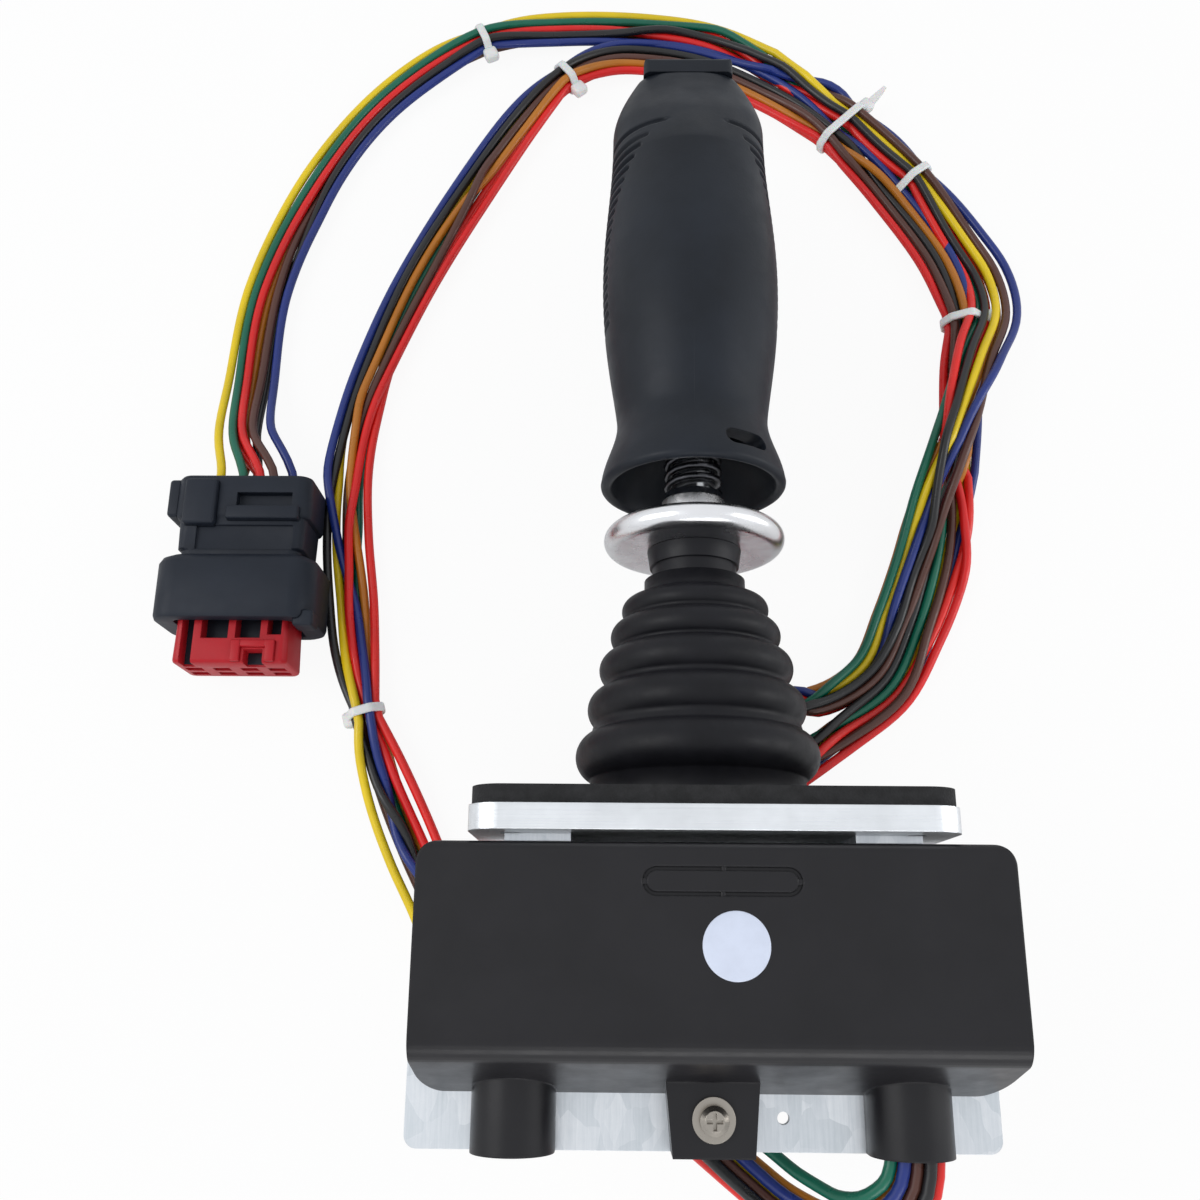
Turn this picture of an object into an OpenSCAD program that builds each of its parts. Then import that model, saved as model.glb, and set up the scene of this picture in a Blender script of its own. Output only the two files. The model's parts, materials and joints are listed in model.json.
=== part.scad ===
// Two-axis industrial hand controller: a moulded grip on a hollow stick, a lift-to-unlock ring, a rubber
// bellows, a square panel flange, a gimbal underneath, an electronics box in front of the gimbal and a
// free wiring harness that ends in a sealed eight-way plug.
// The unit lies on its back. +Y runs up the stick, +Z points away from the table and +X to the right.
// The origin is where the stick axis crosses the top face of the flange.
// Sub-parts of the stick are drawn upright, with z up the stick and the box towards -y, and laid() turns
// them into the frame above.

/* [Panel flange] */
// Side of the square flange plate
flange_w = 92; // [86:1:104]
// Thickness of the flange plate
flange_t = 4.8; // [4:0.2:7]
// Corner radius of the flange plate
flange_corner_r = 6; // [3:0.5:9]
// Round opening that the stick passes through
opening_d = 40; // [38:0.5:42]
// Distance from each panel hole's centre to the flange's edges
hole_inset = 8; // [7:0.5:9]
// Diameter of each tapped panel hole
hole_d = 4.2; // [3.2:0.1:5]
// Thickness of the foam gasket
gasket_t = 3.5; // [2:0.5:5]

/* [Rubber bellows] */
// Diameter of the collar at the foot of the bellows
boot_collar_d = 48; // [45:0.5:50]
// Diameter of the clamped lip under the gasket
boot_lip_d = 53; // [51.5:0.5:54]
// Thickness of the clamped lip
boot_lip_t = 1.6; // [1:0.2:2.4]
// Wall thickness of the rubber
boot_wall = 1.6; // [1.2:0.1:2]
// Number of folds
boot_folds = 5; // [5:1:5]
// Diameter of the lowest fold
boot_fold_d = 54.6; // [52:0.5:57]
// How much smaller in diameter each fold is than the one below it
boot_fold_step = 5.15; // [4.5:0.05:5.5]
// Height of the lowest fold above the flange
boot_fold_z = 15.5; // [14.5:0.1:17]
// Rise from the lowest fold to the next
boot_pitch = 10.8; // [10.2:0.1:11.2]
// How much shorter each rise is than the one below it
boot_pitch_step = 1.5; // [1.3:0.1:1.6]

/* [Gimbal] */
// Tilt of the stick to each side of the middle, in degrees
tilt_angle = 18; // [14:1:20]
// Depth of the pivot centre below the flange's top face
pivot_depth = 24.5; // [23:0.5:26]
// Width of the gimbal housing
housing_w = 62; // [58:1:66]
// Height of the gimbal housing
housing_h = 39.2; // [38:0.2:42]
// Wall thickness of the gimbal housing
housing_wall = 3.5; // [2.5:0.25:4]
// Distance from the stick axis to the front of the housing
housing_front = 17.5; // [17:0.5:19]
// Thickness of the gate plate that stops the stick
gate_t = 2.5; // [2:0.25:3]
// Thickness of the bottom cover
cover_t = 3; // [2:0.25:4]
// Diameter of the gimbal frame's trunnions
trunnion_d = 6; // [5:0.25:7]
// Diameter of the cross pins
pin_d = 5; // [4:0.25:5.5]
// Height of the gimbal frame
frame_h = 10; // [9:0.5:11]
// Wall thickness of the gimbal frame
frame_wall = 3; // [2.5:0.25:3.25]

/* [Stick and lock] */
// Diameter of the hollow stick
shaft_d = 10; // [9.5:0.25:10.5]
// Diameter of the lock rod inside the stick
rod_d = 5; // [4:0.25:5.25]
// Travel of the lock ring
lock_travel = 6; // [4:0.5:6.5]
// Outer diameter of the lock ring
ring_d = 42.6; // [40:0.2:44]
// Thickness of the lock ring's rim
ring_rim = 5.8; // [5:0.1:6.4]
// Height of the lock ring's middle above the flange
ring_z = 67.1; // [66.5:0.1:68]
// Diameter of the lock ring's hub
hub_d = 15; // [14:0.25:16]
// Height of the hub's top above the ring's middle
hub_h = 9.9; // [9:0.1:10.5]
// Diameter of the pin that joins ring and rod
lock_pin_d = 2.5; // [2:0.25:3]
// Diameter of the washer under the spring
washer_d = 14.4; // [14:0.2:16]
// Thickness of the washer under the spring
washer_t = 1.7; // [1.2:0.1:2]
// Diameter of the neck that the bellows closes on
neck_d = 19.7; // [18.5:0.1:20.5]
// Wire diameter of the lock spring
spring_wire = 1.8; // [1.4:0.1:1.9]

/* [Grip] */
// Diameter of the bell mouth
lip_d = 44.4; // [43:0.2:46]
// Height of the bell mouth above the flange
lip_z = 80; // [79:0.5:82]
// Diameter at the waist
waist_d = 36.6; // [35.6:0.2:39]
// Height of the waist above the bell mouth
waist_h = 17; // [15.5:0.5:19]
// Largest diameter of the palm swell
belly_d = 44.2; // [43:0.2:46]
// Height of the palm swell above the bell mouth
belly_h = 56; // [52:1:60]
// Diameter at the shoulder
head_d = 39; // [38:0.2:41]
// Height of the shoulder above the bell mouth
head_h = 102; // [99:1:106]
// Height of the grip without its cap
grip_h = 115.7; // [113:0.1:119]
// Wall thickness of the grip
grip_wall = 3; // [2.2:0.1:3.6]
// Width of the blank cap on top of the grip
cap_w = 23.4; // [22:0.2:24]
// Depth of the cap from front to back
cap_d = 15.4; // [14:0.2:16]
// Height of the cap above the grip
cap_h = 4.6; // [3:0.2:5]
// Number of finger grooves
groove_n = 21; // [15:1:23]
// Distance from groove to groove
groove_pitch = 2.5; // [2.3:0.05:2.55]

/* [Electronics box] */
// Width of the box
box_w = 110; // [104:1:112]
// Height of the box's front
box_h = 39; // [37:0.5:40]
// Depth of the box
box_d = 24; // [22:0.5:26]
// Wall thickness of the box
box_wall = 2.2; // [1.6:0.1:2.6]
// How much lower the box reaches at its back than at its front
box_slope = 6.5; // [5:0.5:7.5]
// Distance from the middle to each cable duct
duct_x = 37.5; // [35:0.5:40]
// Diameter of the half-round cable ducts
duct_d = 16; // [15.5:0.5:17]

/* [Back plate] */
// Width of the zinc-plated back plate
plate_w = 114; // [112:1:118]
// Thickness of the back plate
plate_t = 1.5; // [1.2:0.1:2]
// Distance from the flange's top face to the back plate's lower edge
plate_reach = 62.3; // [61:0.1:64]
// Diameter of the spare hole in the back plate
spare_hole_d = 2.3; // [2:0.1:3.5]

/* [Harness and plug] */
// Diameter of the bundle of eight wires
bundle_d = 8.5; // [8:0.1:8.6]
// Width of the plug's collar
plug_w = 42; // [40:0.5:42.5]
// Height of the plug's collar
plug_h = 24; // [23:0.25:24]

/* [Hidden] */
$fn = 64;

// Clearances
running = 0.05;   // radial, between a shaft and its hole
loose = 0.3;      // between parts that only pass each other
seat = 0.05;      // between a moving face and the face it rests on
cut = 1;          // how far a cutting tool reaches past what it cuts

// Levels under the flange
gate_z = -flange_t - gate_t;
housing_bottom = gate_z - housing_h;
cover_bottom = housing_bottom - cover_t;
housing_back = flange_w / 2;
housing_depth = housing_front + housing_back;
hole_pitch = flange_w - 2 * hole_inset;
pivot = [0, 0, -pivot_depth];
bore_x = housing_w / 2 - housing_wall;
boss_d = 16;
boss_x = bore_x - 3;
bush_wall = 1.5;
corner_inset = 4;
post_d = 8;
screw_d = 3;
screw_hole_d = 3.1;
screw_head_d = 5.5;
screw_head_h = 1.7;
screw_len = 12;
corner_screws = [for (x = [-1, 1], y = [corner_inset - housing_front, housing_back - corner_inset])
    [x * (housing_w / 2 - corner_inset), y]];

// Gimbal frame, block and pins
block_w = 15;
block_d = 17;
block_h = 12;
frame_in_w = 22.4;
frame_in_d = block_d + 2 * loose;
frame_w = frame_in_w + 2 * frame_wall;
frame_d = frame_in_d + 2 * frame_wall;
sensor_gap = 5.2;
sensor_d = 15;
sensor_t = 9;
sensor_plate_t = 1.5;
sensor_post_x = 8;
sensor_post_d = 4;
sensor_y = frame_d / 2 + sensor_gap;
pin_in = shaft_d / 2 + loose;
pin_depth = 6;
outer_sensor_d = 20;
outer_sensor_t = 10;
outer_sensor_end = 7;
gate_half = ((pivot_depth - flange_t) * tan(tilt_angle) + shaft_d / 2) / cos(tilt_angle) + 0.2;
tail_len = 9;
torsion_wire = 1.6;
torsion_r = trunnion_d / 2 + loose + torsion_wire / 2;
side_wire = 1.2;
side_r = pin_d / 2 + loose + side_wire / 2;

// Bellows: each fold is a round bulge on a tapering sleeve
function fold_z(i) = boot_fold_z + i * boot_pitch - boot_pitch_step * i * (i - 1) / 2;
function fold_r(i) = boot_fold_d / 2 - i * boot_fold_step / 2;
function bulge(i) = (boot_pitch - boot_pitch_step * i) / 2 + 0.45;
boot_top = fold_z(boot_folds - 1) + bulge(boot_folds - 1) + 4.5;
boot_top_r = neck_d / 2 + loose;
crease = 3.9;

// Stick and lock
web_t = 2.2;
web_z = ring_z - ring_rim / 2 + 0.3;
neck_top = web_z - seat;
neck_bottom = boot_top - 9;
neck_flare_z = neck_top - 4;
neck_flare = 1.2;
hub_top = ring_z + hub_h;
lock_pin_z = ring_z + 4.4;
washer_top = hub_top + washer_t;
rod_top = lock_pin_z + 4;
rod_bore_top = rod_top + lock_travel + 3;
rod_tip = cover_bottom + cover_t + 4;
socket_h = rod_tip - housing_bottom - 0.5;
socket_d = 11;
nut_t = 5;
nut_flats = 16;
nut_z = lip_z + 13;
insert_z = nut_z + nut_t;
insert_d = 16;
insert_len = 52;
shaft_top = insert_z + insert_len - 1;
spring_r = shaft_d / 2 + loose + spring_wire / 2;
spring_turns = 4.5;

// Grip outline: eased curves through mouth, waist, swell and shoulder
function ease(a, b, t) = a + (b - a) * (1 - cos(180 * t)) / 2;
function grip_r(h) =
    h < waist_h ? ease(lip_d, waist_d, h / waist_h) / 2 :
    h < belly_h ? ease(waist_d, belly_d, pow((h - waist_h) / (belly_h - waist_h), 0.66)) / 2 :
    h < head_h ? ease(belly_d, head_d, (h - belly_h) / (head_h - belly_h)) / 2 :
    head_d / 2 - shoulder_drop * pow((h - head_h) / (grip_h - head_h), 2.2);
shoulder_drop = 4.9;
mouth_wall = 2.7;
bell_steps = 6;
socket_wall = 2.5;
web_h = insert_z - lip_z + 6;
groove_top_h = 92.1;
arch_rise = 1.2;
groove_r = 0.8;
panel_half = 74;
panel_spread = 47;
arch_gap = 16.5;
grip_turn = 3.7;
cap_plug = [19, 11];
cap_plug_h = 6;
cap_edge = 1.2;
key_h = 6;
key_turn = 33;
key_size = [11.5, 4.2];

// Electronics box
plate_front = housing_front + plate_t;
box_front = plate_front + box_d;
tab_w = 12.5;
tab_x = 33;
tab_reach = 21;
box_top = -flange_t - plate_t - loose;
box_bottom = box_top - box_h;
plate_top = box_top - 1;
box_corner_r = 4;
box_top_r = 1.5;
box_foot_r = 5;
duct_rise = 2.5;
duct_y = -plate_front - duct_rise;
duct_bore_d = 9.2;
duct_bore_y = duct_y - duct_d / 2 + duct_bore_d / 2 + 1.1;
lug_w = 17.8;
lug_w_low = 15.2;
lug_out = 9;
lug_z = -plate_reach + 6.7;
lug_hole_d = 3.2;
knockout = [29.3, 5.3, 0.8, 0.6];
knockout_at = [1.2, box_top - 7.1];
spare_hole_x = 14;
plate_shift = -1.5;
board = [100, 1.6, 28];
board_gap = 4;
board_z = box_top - 5.4 - board[2] / 2;
grommet_h = 5;
grommet_z = -plate_reach + 5.3;

// Harness: the middle of the bundle, from the duct to the plug, in the lying frame
table_z = -flange_w / 2;
lie = -41;
duct_mouth = [duct_x, -plate_reach, -duct_bore_y];
route = [
    [duct_mouth[0], grommet_z, duct_mouth[2]], duct_mouth - [0, 1, 0], duct_mouth - [1.5, 6.5, 0.8],
    [31, -74, 20], [24, -76, 15], [16, -73.5, 9], [9, -69, 2], [2, -64, -6], [-4, -60, -15], [-10, -58, -25],
    [-18, -57.5, -34], [-29, -56.5, -39.5], [-41, -52, lie], [-51, -43, lie], [-58, -30, lie],
    [-63.5, -16, lie], [-70.5, -2, lie], [-77.5, 14, lie], [-84, 34, lie], [-88, 50, lie], [-90.2, 66, lie],
    [-92.3, 83, lie], [-93.2, 101, lie], [-91.8, 118, lie], [-88.6, 134, lie], [-79.5, 162, lie],
    [-65.5, 192, lie], [-49, 220, lie], [-34.5, 236, lie], [-21, 243.8, lie], [-8, 244.8, lie],
    [9, 241, lie], [28.8, 229.4, lie], [46.6, 213.8, lie], [63, 194, lie], [76.4, 171.5, lie],
    [80.6, 150, lie],
    [80, 134, lie], [79, 119, lie], [77, 104, lie], [74.5, 89.5, lie], [70.5, 73, lie], [64.5, 57, lie],
    [55.8, 40.6, lie], [40.6, 29, lie], [25, 18, lie], [12, 11, lie], [-2, 10, lie], [-13, 16, lie],
    [-16, 27, lie], [-8, 36, lie], [6, 38, lie], [21.5, 36.5, lie], [36, 38, lie], [48.8, 46.6, lie],
    [56, 61.5, lie], [61.5, 76, -40], [66, 92, -36], [71, 106, -32], [77, 121, -32], [83.5, 137, -34.5],
    [90, 152, -38.5], [90, 166, lie], [84.8, 177.5, lie], [72, 199.5, lie], [53.7, 220.7, lie],
    [34.6, 237.5, lie], [12.6, 250.3, lie], [-9.2, 254.8, lie], [-35.9, 255.2, lie], [-61, 249.9, lie],
    [-87.3, 231.3, lie], [-109.2, 200.1, lie], [-121.8, 161.9, lie], [-124, 130, lie], [-122.5, 112, -37],
    [-118.5, 102, -34.5], [-117, 97.5, -34], [-117, 93, -34]];
harness_sides = 10;
tie_w = 2.5;
tie_t = 0.55;
tie_head = [4.6, 4.2, 3.6];
tie_stops = [18, 28, 36, 64, 70];
tie_turn = [0, 0, 90, 180, 0];   // which side of the bundle each head sits on
pair_stop = [33, 65];

// Plug, lying on the table at the end of the harness
plug_end = route[len(route) - 1];
plug_rear = [36, 21, 19];
plug_collar_l = 17.5;
plug_lock_size = [29.5, 16, 16];
seal_size = [28, 5, 13];
wire_hole_d = 2.5;
wire_pitch = [5.4, 5.5];

// ---- Helpers ----------------------------------------------------------------------------------------

// Turns a sub-part drawn upright into the lying frame
module laid() {
    rotate([-90, 0, 0]) children();
}

// Outline of a rectangle with round corners, centred
module round_rect(w, d, r) {
    square([w - 2 * r, d], center = true);
    square([w, d - 2 * r], center = true);
    for (x = [-1, 1], y = [-1, 1]) {
        translate([x * (w / 2 - r), y * (d / 2 - r)]) circle(r);
    }
}

// Points of an arc, from angle a to angle b
function arc(x, y, r, a, b, n = 8) = [for (i = [0:n]) [x + r * cos(a + (b - a) * i / n),
    y + r * sin(a + (b - a) * i / n)]];

// Unit vector, and the direction of a path at one of its points
function unit(v) = v / norm(v);
function along(p, i) = unit(p[min(i + 1, len(p) - 1)] - p[max(i - 1, 0)]);

// One ring of points round a path at point i, square to it
function ring_at(p, i, r, n) =
    let (t = along(p, i), u = unit(cross(t, [0, 0, 1])), v = cross(u, t))
    [for (k = [0:n - 1]) p[i] + r * (u * cos(360 * k / n) + v * sin(360 * k / n))];

// Solid round tube swept along a path
module swept(p, r, n) {
    rings = len(p);
    points = [for (i = [0:rings - 1]) each ring_at(p, i, r, n)];
    walls = [for (i = [0:rings - 2], k = [0:n - 1])
        [i * n + k, i * n + (k + 1) % n, (i + 1) * n + (k + 1) % n, (i + 1) * n + k]];
    start = [for (k = [n - 1:-1:0]) k];
    end = [for (k = [0:n - 1]) (rings - 1) * n + k];
    polyhedron(points = points, faces = concat([start], walls, [end]), convexity = 10);
}

// Coil of round wire standing on z = 0, with a straight leg at each end
module coil(mean_r, wire, height, turns, leg) {
    steps = round(turns * 14);
    rise = height - wire;
    helix = [for (i = [0:steps]) [mean_r * cos(360 * turns * i / steps),
        mean_r * sin(360 * turns * i / steps), wire / 2 + rise * i / steps]];
    first = helix[0] + [0, -leg, 0];
    last_angle = 360 * turns;
    last = helix[steps] + leg * [-sin(last_angle), cos(last_angle), 0];
    swept(leg > 0 ? concat([first], helix, [last]) : helix, wire / 2, 8);
}

// Places children at a route point, with z along the route
module on_route(i) {
    t = along(route, i);
    translate(route[i]) rotate([0, acos(t[2]), atan2(t[1], t[0])]) children();
}

// ---- Flange, gasket and bellows ---------------------------------------------------------------------

module flange_plate() {
    color("silver") laid() difference() {
        translate([0, 0, -flange_t]) linear_extrude(flange_t) {
            round_rect(flange_w, flange_w, flange_corner_r);
        }
        translate([0, 0, -flange_t - cut]) cylinder(d = opening_d, h = flange_t + 2 * cut);
        translate([0, 0, -boot_lip_t]) cylinder(d = boot_lip_d + 2 * running, h = boot_lip_t + cut);
        for (x = [-1, 1], y = [-1, 1]) {
            translate([x * hole_pitch / 2, y * hole_pitch / 2, -flange_t - cut]) {
                cylinder(d = hole_d, h = flange_t + 2 * cut);
            }
        }
        for (at = corner_screws) translate([at[0], at[1], 0]) countersink(flange_t);
        for (x = [-1, 1]) {
            translate([x * tab_x, -housing_front - tab_reach / 2, -flange_t]) {
                cylinder(d = screw_d, h = 2 * flange_t, center = true);
            }
        }
    }
}

// Clearance hole with a cone for a flush head, opening upwards from z = 0
module countersink(depth, head_h = screw_head_h) {
    translate([0, 0, -depth - cut]) cylinder(d = screw_hole_d, h = depth + 2 * cut);
    translate([0, 0, -head_h]) cylinder(d1 = screw_hole_d, d2 = screw_head_d + 2 * running, h = head_h);
}

module panel_gasket() {
    color("#1c1c1e") laid() difference() {
        linear_extrude(gasket_t) round_rect(flange_w - 1, flange_w - 1, flange_corner_r);
        translate([0, 0, -cut]) cylinder(d = boot_collar_d + 2 * running, h = gasket_t + 2 * cut);
        for (x = [-1, 1], y = [-1, 1]) {
            translate([x * hole_pitch / 2, y * hole_pitch / 2, -cut]) {
                cylinder(d = hole_d + 1, h = gasket_t + 2 * cut);
            }
        }
    }
}

// Half outline of the bellows, moved inwards by the wall for its inside
module boot_outline(inset) {
    collar_r = boot_collar_d / 2 - inset;
    top = boot_folds - 1;
    polygon([[0, -boot_lip_t - inset], [collar_r, -boot_lip_t - inset], [collar_r, fold_z(0) - bulge(0) + 2],
        [fold_r(0) - crease + 2 - inset, fold_z(0)], [fold_r(top) - crease + 2.5 - inset, fold_z(top)],
        [boot_top_r + (inset > 0 ? 0 : boot_wall), boot_top - 3 - inset],
        [boot_top_r + (inset > 0 ? 0 : boot_wall), boot_top + inset], [0, boot_top + inset]]);
    for (i = [0:top]) {
        translate([fold_r(i) - bulge(i), fold_z(i)]) circle(bulge(i) - inset);
    }
}

module bellows_boot() {
    color("#202022") laid() {
        rotate_extrude() difference() {
            union() {
                boot_outline(0);
                translate([0, -boot_lip_t]) square([boot_lip_d / 2, boot_lip_t]);
            }
            boot_outline(boot_wall);
        }
    }
}

// ---- Gimbal housing and what is fixed to it ---------------------------------------------------------

module limiter_gate() {
    color("#8f9296") laid() difference() {
        translate([0, (housing_back - housing_front) / 2, gate_z]) linear_extrude(gate_t) {
            round_rect(housing_w, housing_depth, corner_inset);
        }
        translate([0, 0, gate_z]) cube([2 * gate_half, 2 * gate_half, 4 * gate_t], center = true);
        for (at = corner_screws) {
            translate([at[0], at[1], gate_z - cut]) cylinder(d = screw_hole_d, h = gate_t + 2 * cut);
        }
    }
}

module gimbal_housing() {
    middle = (housing_back - housing_front) / 2;
    color("#a7a9ac") laid() difference() {
        union() {
            translate([0, middle, housing_bottom]) linear_extrude(housing_h) difference() {
                round_rect(housing_w, housing_depth, corner_inset);
                square([housing_w - 2 * housing_wall, housing_depth - 2 * housing_wall], center = true);
            }
            for (at = corner_screws) {
                translate([at[0], at[1], housing_bottom]) cylinder(d = post_d, h = housing_h);
            }
            for (x = [-1, 1]) {
                translate(pivot + [x * (boss_x + bore_x + housing_wall) / 2, 0, 0]) rotate([0, 90, 0]) {
                    cylinder(d = boss_d, h = bore_x + housing_wall - boss_x, center = true);
                }
            }
        }
        translate(pivot) rotate([0, 90, 0]) {
            cylinder(d = trunnion_d + 2 * bush_wall, h = 2 * housing_w, center = true);
        }
        for (at = corner_screws) {
            translate([at[0], at[1], gate_z - screw_len]) cylinder(d = screw_d, h = screw_len + cut);
            translate([at[0], at[1], housing_bottom - cut]) cylinder(d = screw_d, h = screw_len + cut);
        }
    }
}

module bottom_cover() {
    color("#a7a9ac") laid() difference() {
        union() {
            translate([0, (housing_back - housing_front) / 2, cover_bottom]) linear_extrude(cover_t) {
                round_rect(housing_w, housing_depth, corner_inset);
            }
            translate([0, 0, housing_bottom - cut]) cylinder(d = socket_d, h = socket_h + cut);
        }
        translate([0, 0, housing_bottom]) cylinder(d = rod_d + 2 * loose, h = socket_h + cut);
        for (at = corner_screws) {
            translate([at[0], at[1], cover_bottom - cut]) cylinder(d = screw_hole_d, h = cover_t + 2 * cut);
        }
    }
}

module housing_screws() {
    color("#c9c9cc") laid() for (at = corner_screws) translate([at[0], at[1], 0]) {
        translate([0, 0, -screw_head_h]) cylinder(d1 = screw_d, d2 = screw_head_d, h = screw_head_h);
        translate([0, 0, gate_z - screw_len + cut]) cylinder(d = screw_d, h = screw_len - gate_z - cut - 0.5);
    }
}

module cover_screws() {
    head_h = 2;
    color("#c9c9cc") laid() for (at = corner_screws) translate([at[0], at[1], cover_bottom]) {
        translate([0, 0, -head_h]) cylinder(d = screw_head_d, h = head_h);
        translate([0, 0, -head_h / 2]) cylinder(d = screw_d, h = cover_t + screw_len - cut + head_h / 2);
    }
}

module trunnion_bushes() {
    color("#b08d57") laid() for (x = [-1, 1]) {
        translate(pivot + [x * (boss_x + bore_x + housing_wall) / 2, 0, 0]) rotate([0, 90, 0]) difference() {
            cylinder(d = trunnion_d + 2 * bush_wall, h = bore_x + housing_wall - boss_x, center = true);
            cylinder(d = trunnion_d + 2 * running, h = housing_w, center = true);
        }
    }
}

module fore_aft_sensor() {
    color("#26282b") laid() translate(pivot + [housing_w / 2, 0, 0]) rotate([0, 90, 0]) difference() {
        cylinder(d = outer_sensor_d, h = outer_sensor_t);
        translate([0, 0, -cut]) cylinder(d = trunnion_d + 2 * running, h = outer_sensor_end + 2 * cut);
    }
}

module fore_aft_spring() {
    gap = boss_x - frame_w / 2 - 2 * seat;
    color("#3c3f44") laid() translate(pivot + [-boss_x, 0, 0]) rotate([0, 90, 0]) {
        coil(torsion_r, torsion_wire, gap, 4.5, 5);
    }
}

// ---- Gimbal frame -----------------------------------------------------------------------------------

module gimbal_frame() {
    reach = housing_w / 2 + outer_sensor_end;
    color("#8f9296") laid() translate(pivot) difference() {
        union() {
            difference() {
                cube([frame_w, frame_d, frame_h], center = true);
                cube([frame_in_w, frame_in_d, 2 * frame_h], center = true);
            }
            translate([frame_in_w / 2 + 1, 0, 0]) rotate([0, 90, 0]) {
                cylinder(d = trunnion_d, h = reach - frame_in_w / 2 - 1);
            }
            translate([-housing_w / 2, 0, 0]) rotate([0, 90, 0]) {
                cylinder(d = trunnion_d, h = housing_w / 2 - frame_in_w / 2 - 1);
            }
            for (x = [-1, 1]) {
                translate([x * sensor_post_x, frame_d / 2 - 1, 0]) rotate([-90, 0, 0]) {
                    cylinder(d = sensor_post_d, h = sensor_gap + 1);
                }
            }
        }
        rotate([90, 0, 0]) cylinder(d = pin_d + 2 * running, h = 2 * frame_d, center = true);
    }
}

module side_sensor() {
    color("#26282b") laid() translate(pivot + [0, sensor_y, 0]) rotate([-90, 0, 0]) difference() {
        union() {
            linear_extrude(sensor_plate_t) round_rect(2 * sensor_post_x + sensor_post_d + 2, frame_h - 1, 2);
            translate([0, 0, sensor_plate_t / 2]) cylinder(d = sensor_d, h = sensor_t - sensor_plate_t / 2);
        }
        translate([0, 0, -cut]) cylinder(d = pin_d + 2 * running, h = pin_depth + 2 * cut);
    }
}

module side_spring() {
    color("#3c3f44") laid() translate(pivot + [0, frame_d / 2 + seat, 0]) rotate([-90, 0, 0]) {
        coil(side_r, side_wire, sensor_gap - 2 * seat, 2.5, 0);
    }
}

// ---- Stick ------------------------------------------------------------------------------------------

module pivot_block() {
    color("#9a9da1") laid() translate(pivot) difference() {
        cube([block_w, block_d, block_h], center = true);
        cylinder(d = shaft_d, h = 2 * block_h, center = true);
        rotate([90, 0, 0]) cylinder(d = pin_d, h = 2 * block_d, center = true);
    }
}

module cross_pins() {
    color("#c9c9cc") laid() translate(pivot) {
        rotate([90, 0, 0]) translate([0, 0, pin_in]) cylinder(d = pin_d, h = frame_d / 2 - pin_in);
        rotate([-90, 0, 0]) translate([0, 0, pin_in]) cylinder(d = pin_d, h = sensor_y + pin_depth - pin_in);
    }
}

module stick_shaft() {
    tail = -pivot_depth - tail_len;
    slot_w = lock_pin_d + 4 * running;
    color("#c4c6c8") laid() difference() {
        translate([0, 0, tail]) cylinder(d = shaft_d, h = shaft_top - tail);
        translate([0, 0, tail - cut]) cylinder(d = rod_d + 2 * running, h = rod_bore_top - tail + cut);
        translate([0, 0, lock_pin_z + lock_travel / 2]) {
            cube([2 * shaft_d, slot_w, lock_travel], center = true);
            for (z = [-1, 1]) {
                translate([0, 0, z * lock_travel / 2]) rotate([0, 90, 0]) {
                    cylinder(d = slot_w, h = 2 * shaft_d, center = true);
                }
            }
        }
    }
}

module neck_collar() {
    color("#1b1b1d") laid() difference() {
        union() {
            translate([0, 0, neck_bottom]) cylinder(d = neck_d, h = neck_top - neck_bottom);
            translate([0, 0, neck_flare_z]) {
                cylinder(d1 = neck_d + neck_flare, d2 = neck_d + 2 * neck_flare, h = neck_top - neck_flare_z);
            }
        }
        cylinder(d = shaft_d, h = 2 * neck_top, center = true);
    }
}

// Closed half outline of the grip, from the mouth up, moved inwards by inset
function grip_side(inset, from, to, n) = [for (i = [0:n])
    let (h = from + (to - from) * i / n) [max(grip_r(h) - inset, 1), lip_z + h]];

module grip_body() {
    top = lip_z + grip_h;
    mouth_r = lip_d / 2 - mouth_wall;
    bell = [for (i = [0:bell_steps]) let (t = i / bell_steps)
        [ease(mouth_r, nut_flats / 2 + 2.5, t), lip_z + t * (insert_z - lip_z)]];
    cavity_top = grip_h - cap_plug_h;
    socket_r = insert_d / 2 + socket_wall;
    color("#1f2023") laid() difference() {
        rotate_extrude() polygon(concat([[0, lip_z]], grip_side(0, 0, grip_h, 44), [[0, top]]));
        rotate_extrude() polygon(concat([[0, lip_z - cut], [mouth_r, lip_z - cut]], bell, [[0, insert_z]]));
        rotate_extrude() polygon(concat([[0, lip_z + cavity_top], [0, insert_z + insert_len],
            [socket_r, insert_z + insert_len], [socket_r, lip_z + web_h]],
            grip_side(grip_wall, web_h, cavity_top, 20)));
        translate([0, 0, insert_z - cut]) cylinder(d = insert_d, h = insert_len + 2 * cut);
        translate([0, 0, top - cap_plug_h - cut]) linear_extrude(cap_plug_h + 2 * cut) {
            round_rect(cap_plug[0], cap_plug[1], 1.5);
        }
        for (i = [0:groove_n - 1]) finger_groove(i);
        translate([0, 0, lip_z + key_h]) rotate([90, 0, key_turn]) linear_extrude(lip_d) {
            key_slot(key_size[0], key_size[1]);
        }
    }
}

// Groove i, counted from the shoulder down: the palm panel in front of it stays smooth, and the first
// one runs on as an arch over the panel
module finger_groove(i) {
    h = groove_top_h - i * groove_pitch + (i == 0 ? arch_rise : 0);
    t = i / (groove_n - 1);
    half = i == 0 ? arch_gap : panel_half - panel_spread * pow(1 - t, 3.6);
    translate([0, 0, lip_z + h]) rotate([0, 0, grip_turn + half - 90]) {
        rotate_extrude(angle = 360 - 2 * half) translate([grip_r(h) + 0.1, 0]) circle(groove_r, $fn = 16);
    }
}

// Slot outline with round ends
module key_slot(w, h) {
    square([w - h, h], center = true);
    for (x = [-1, 1]) translate([x * (w - h) / 2, 0]) circle(d = h);
}

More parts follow.
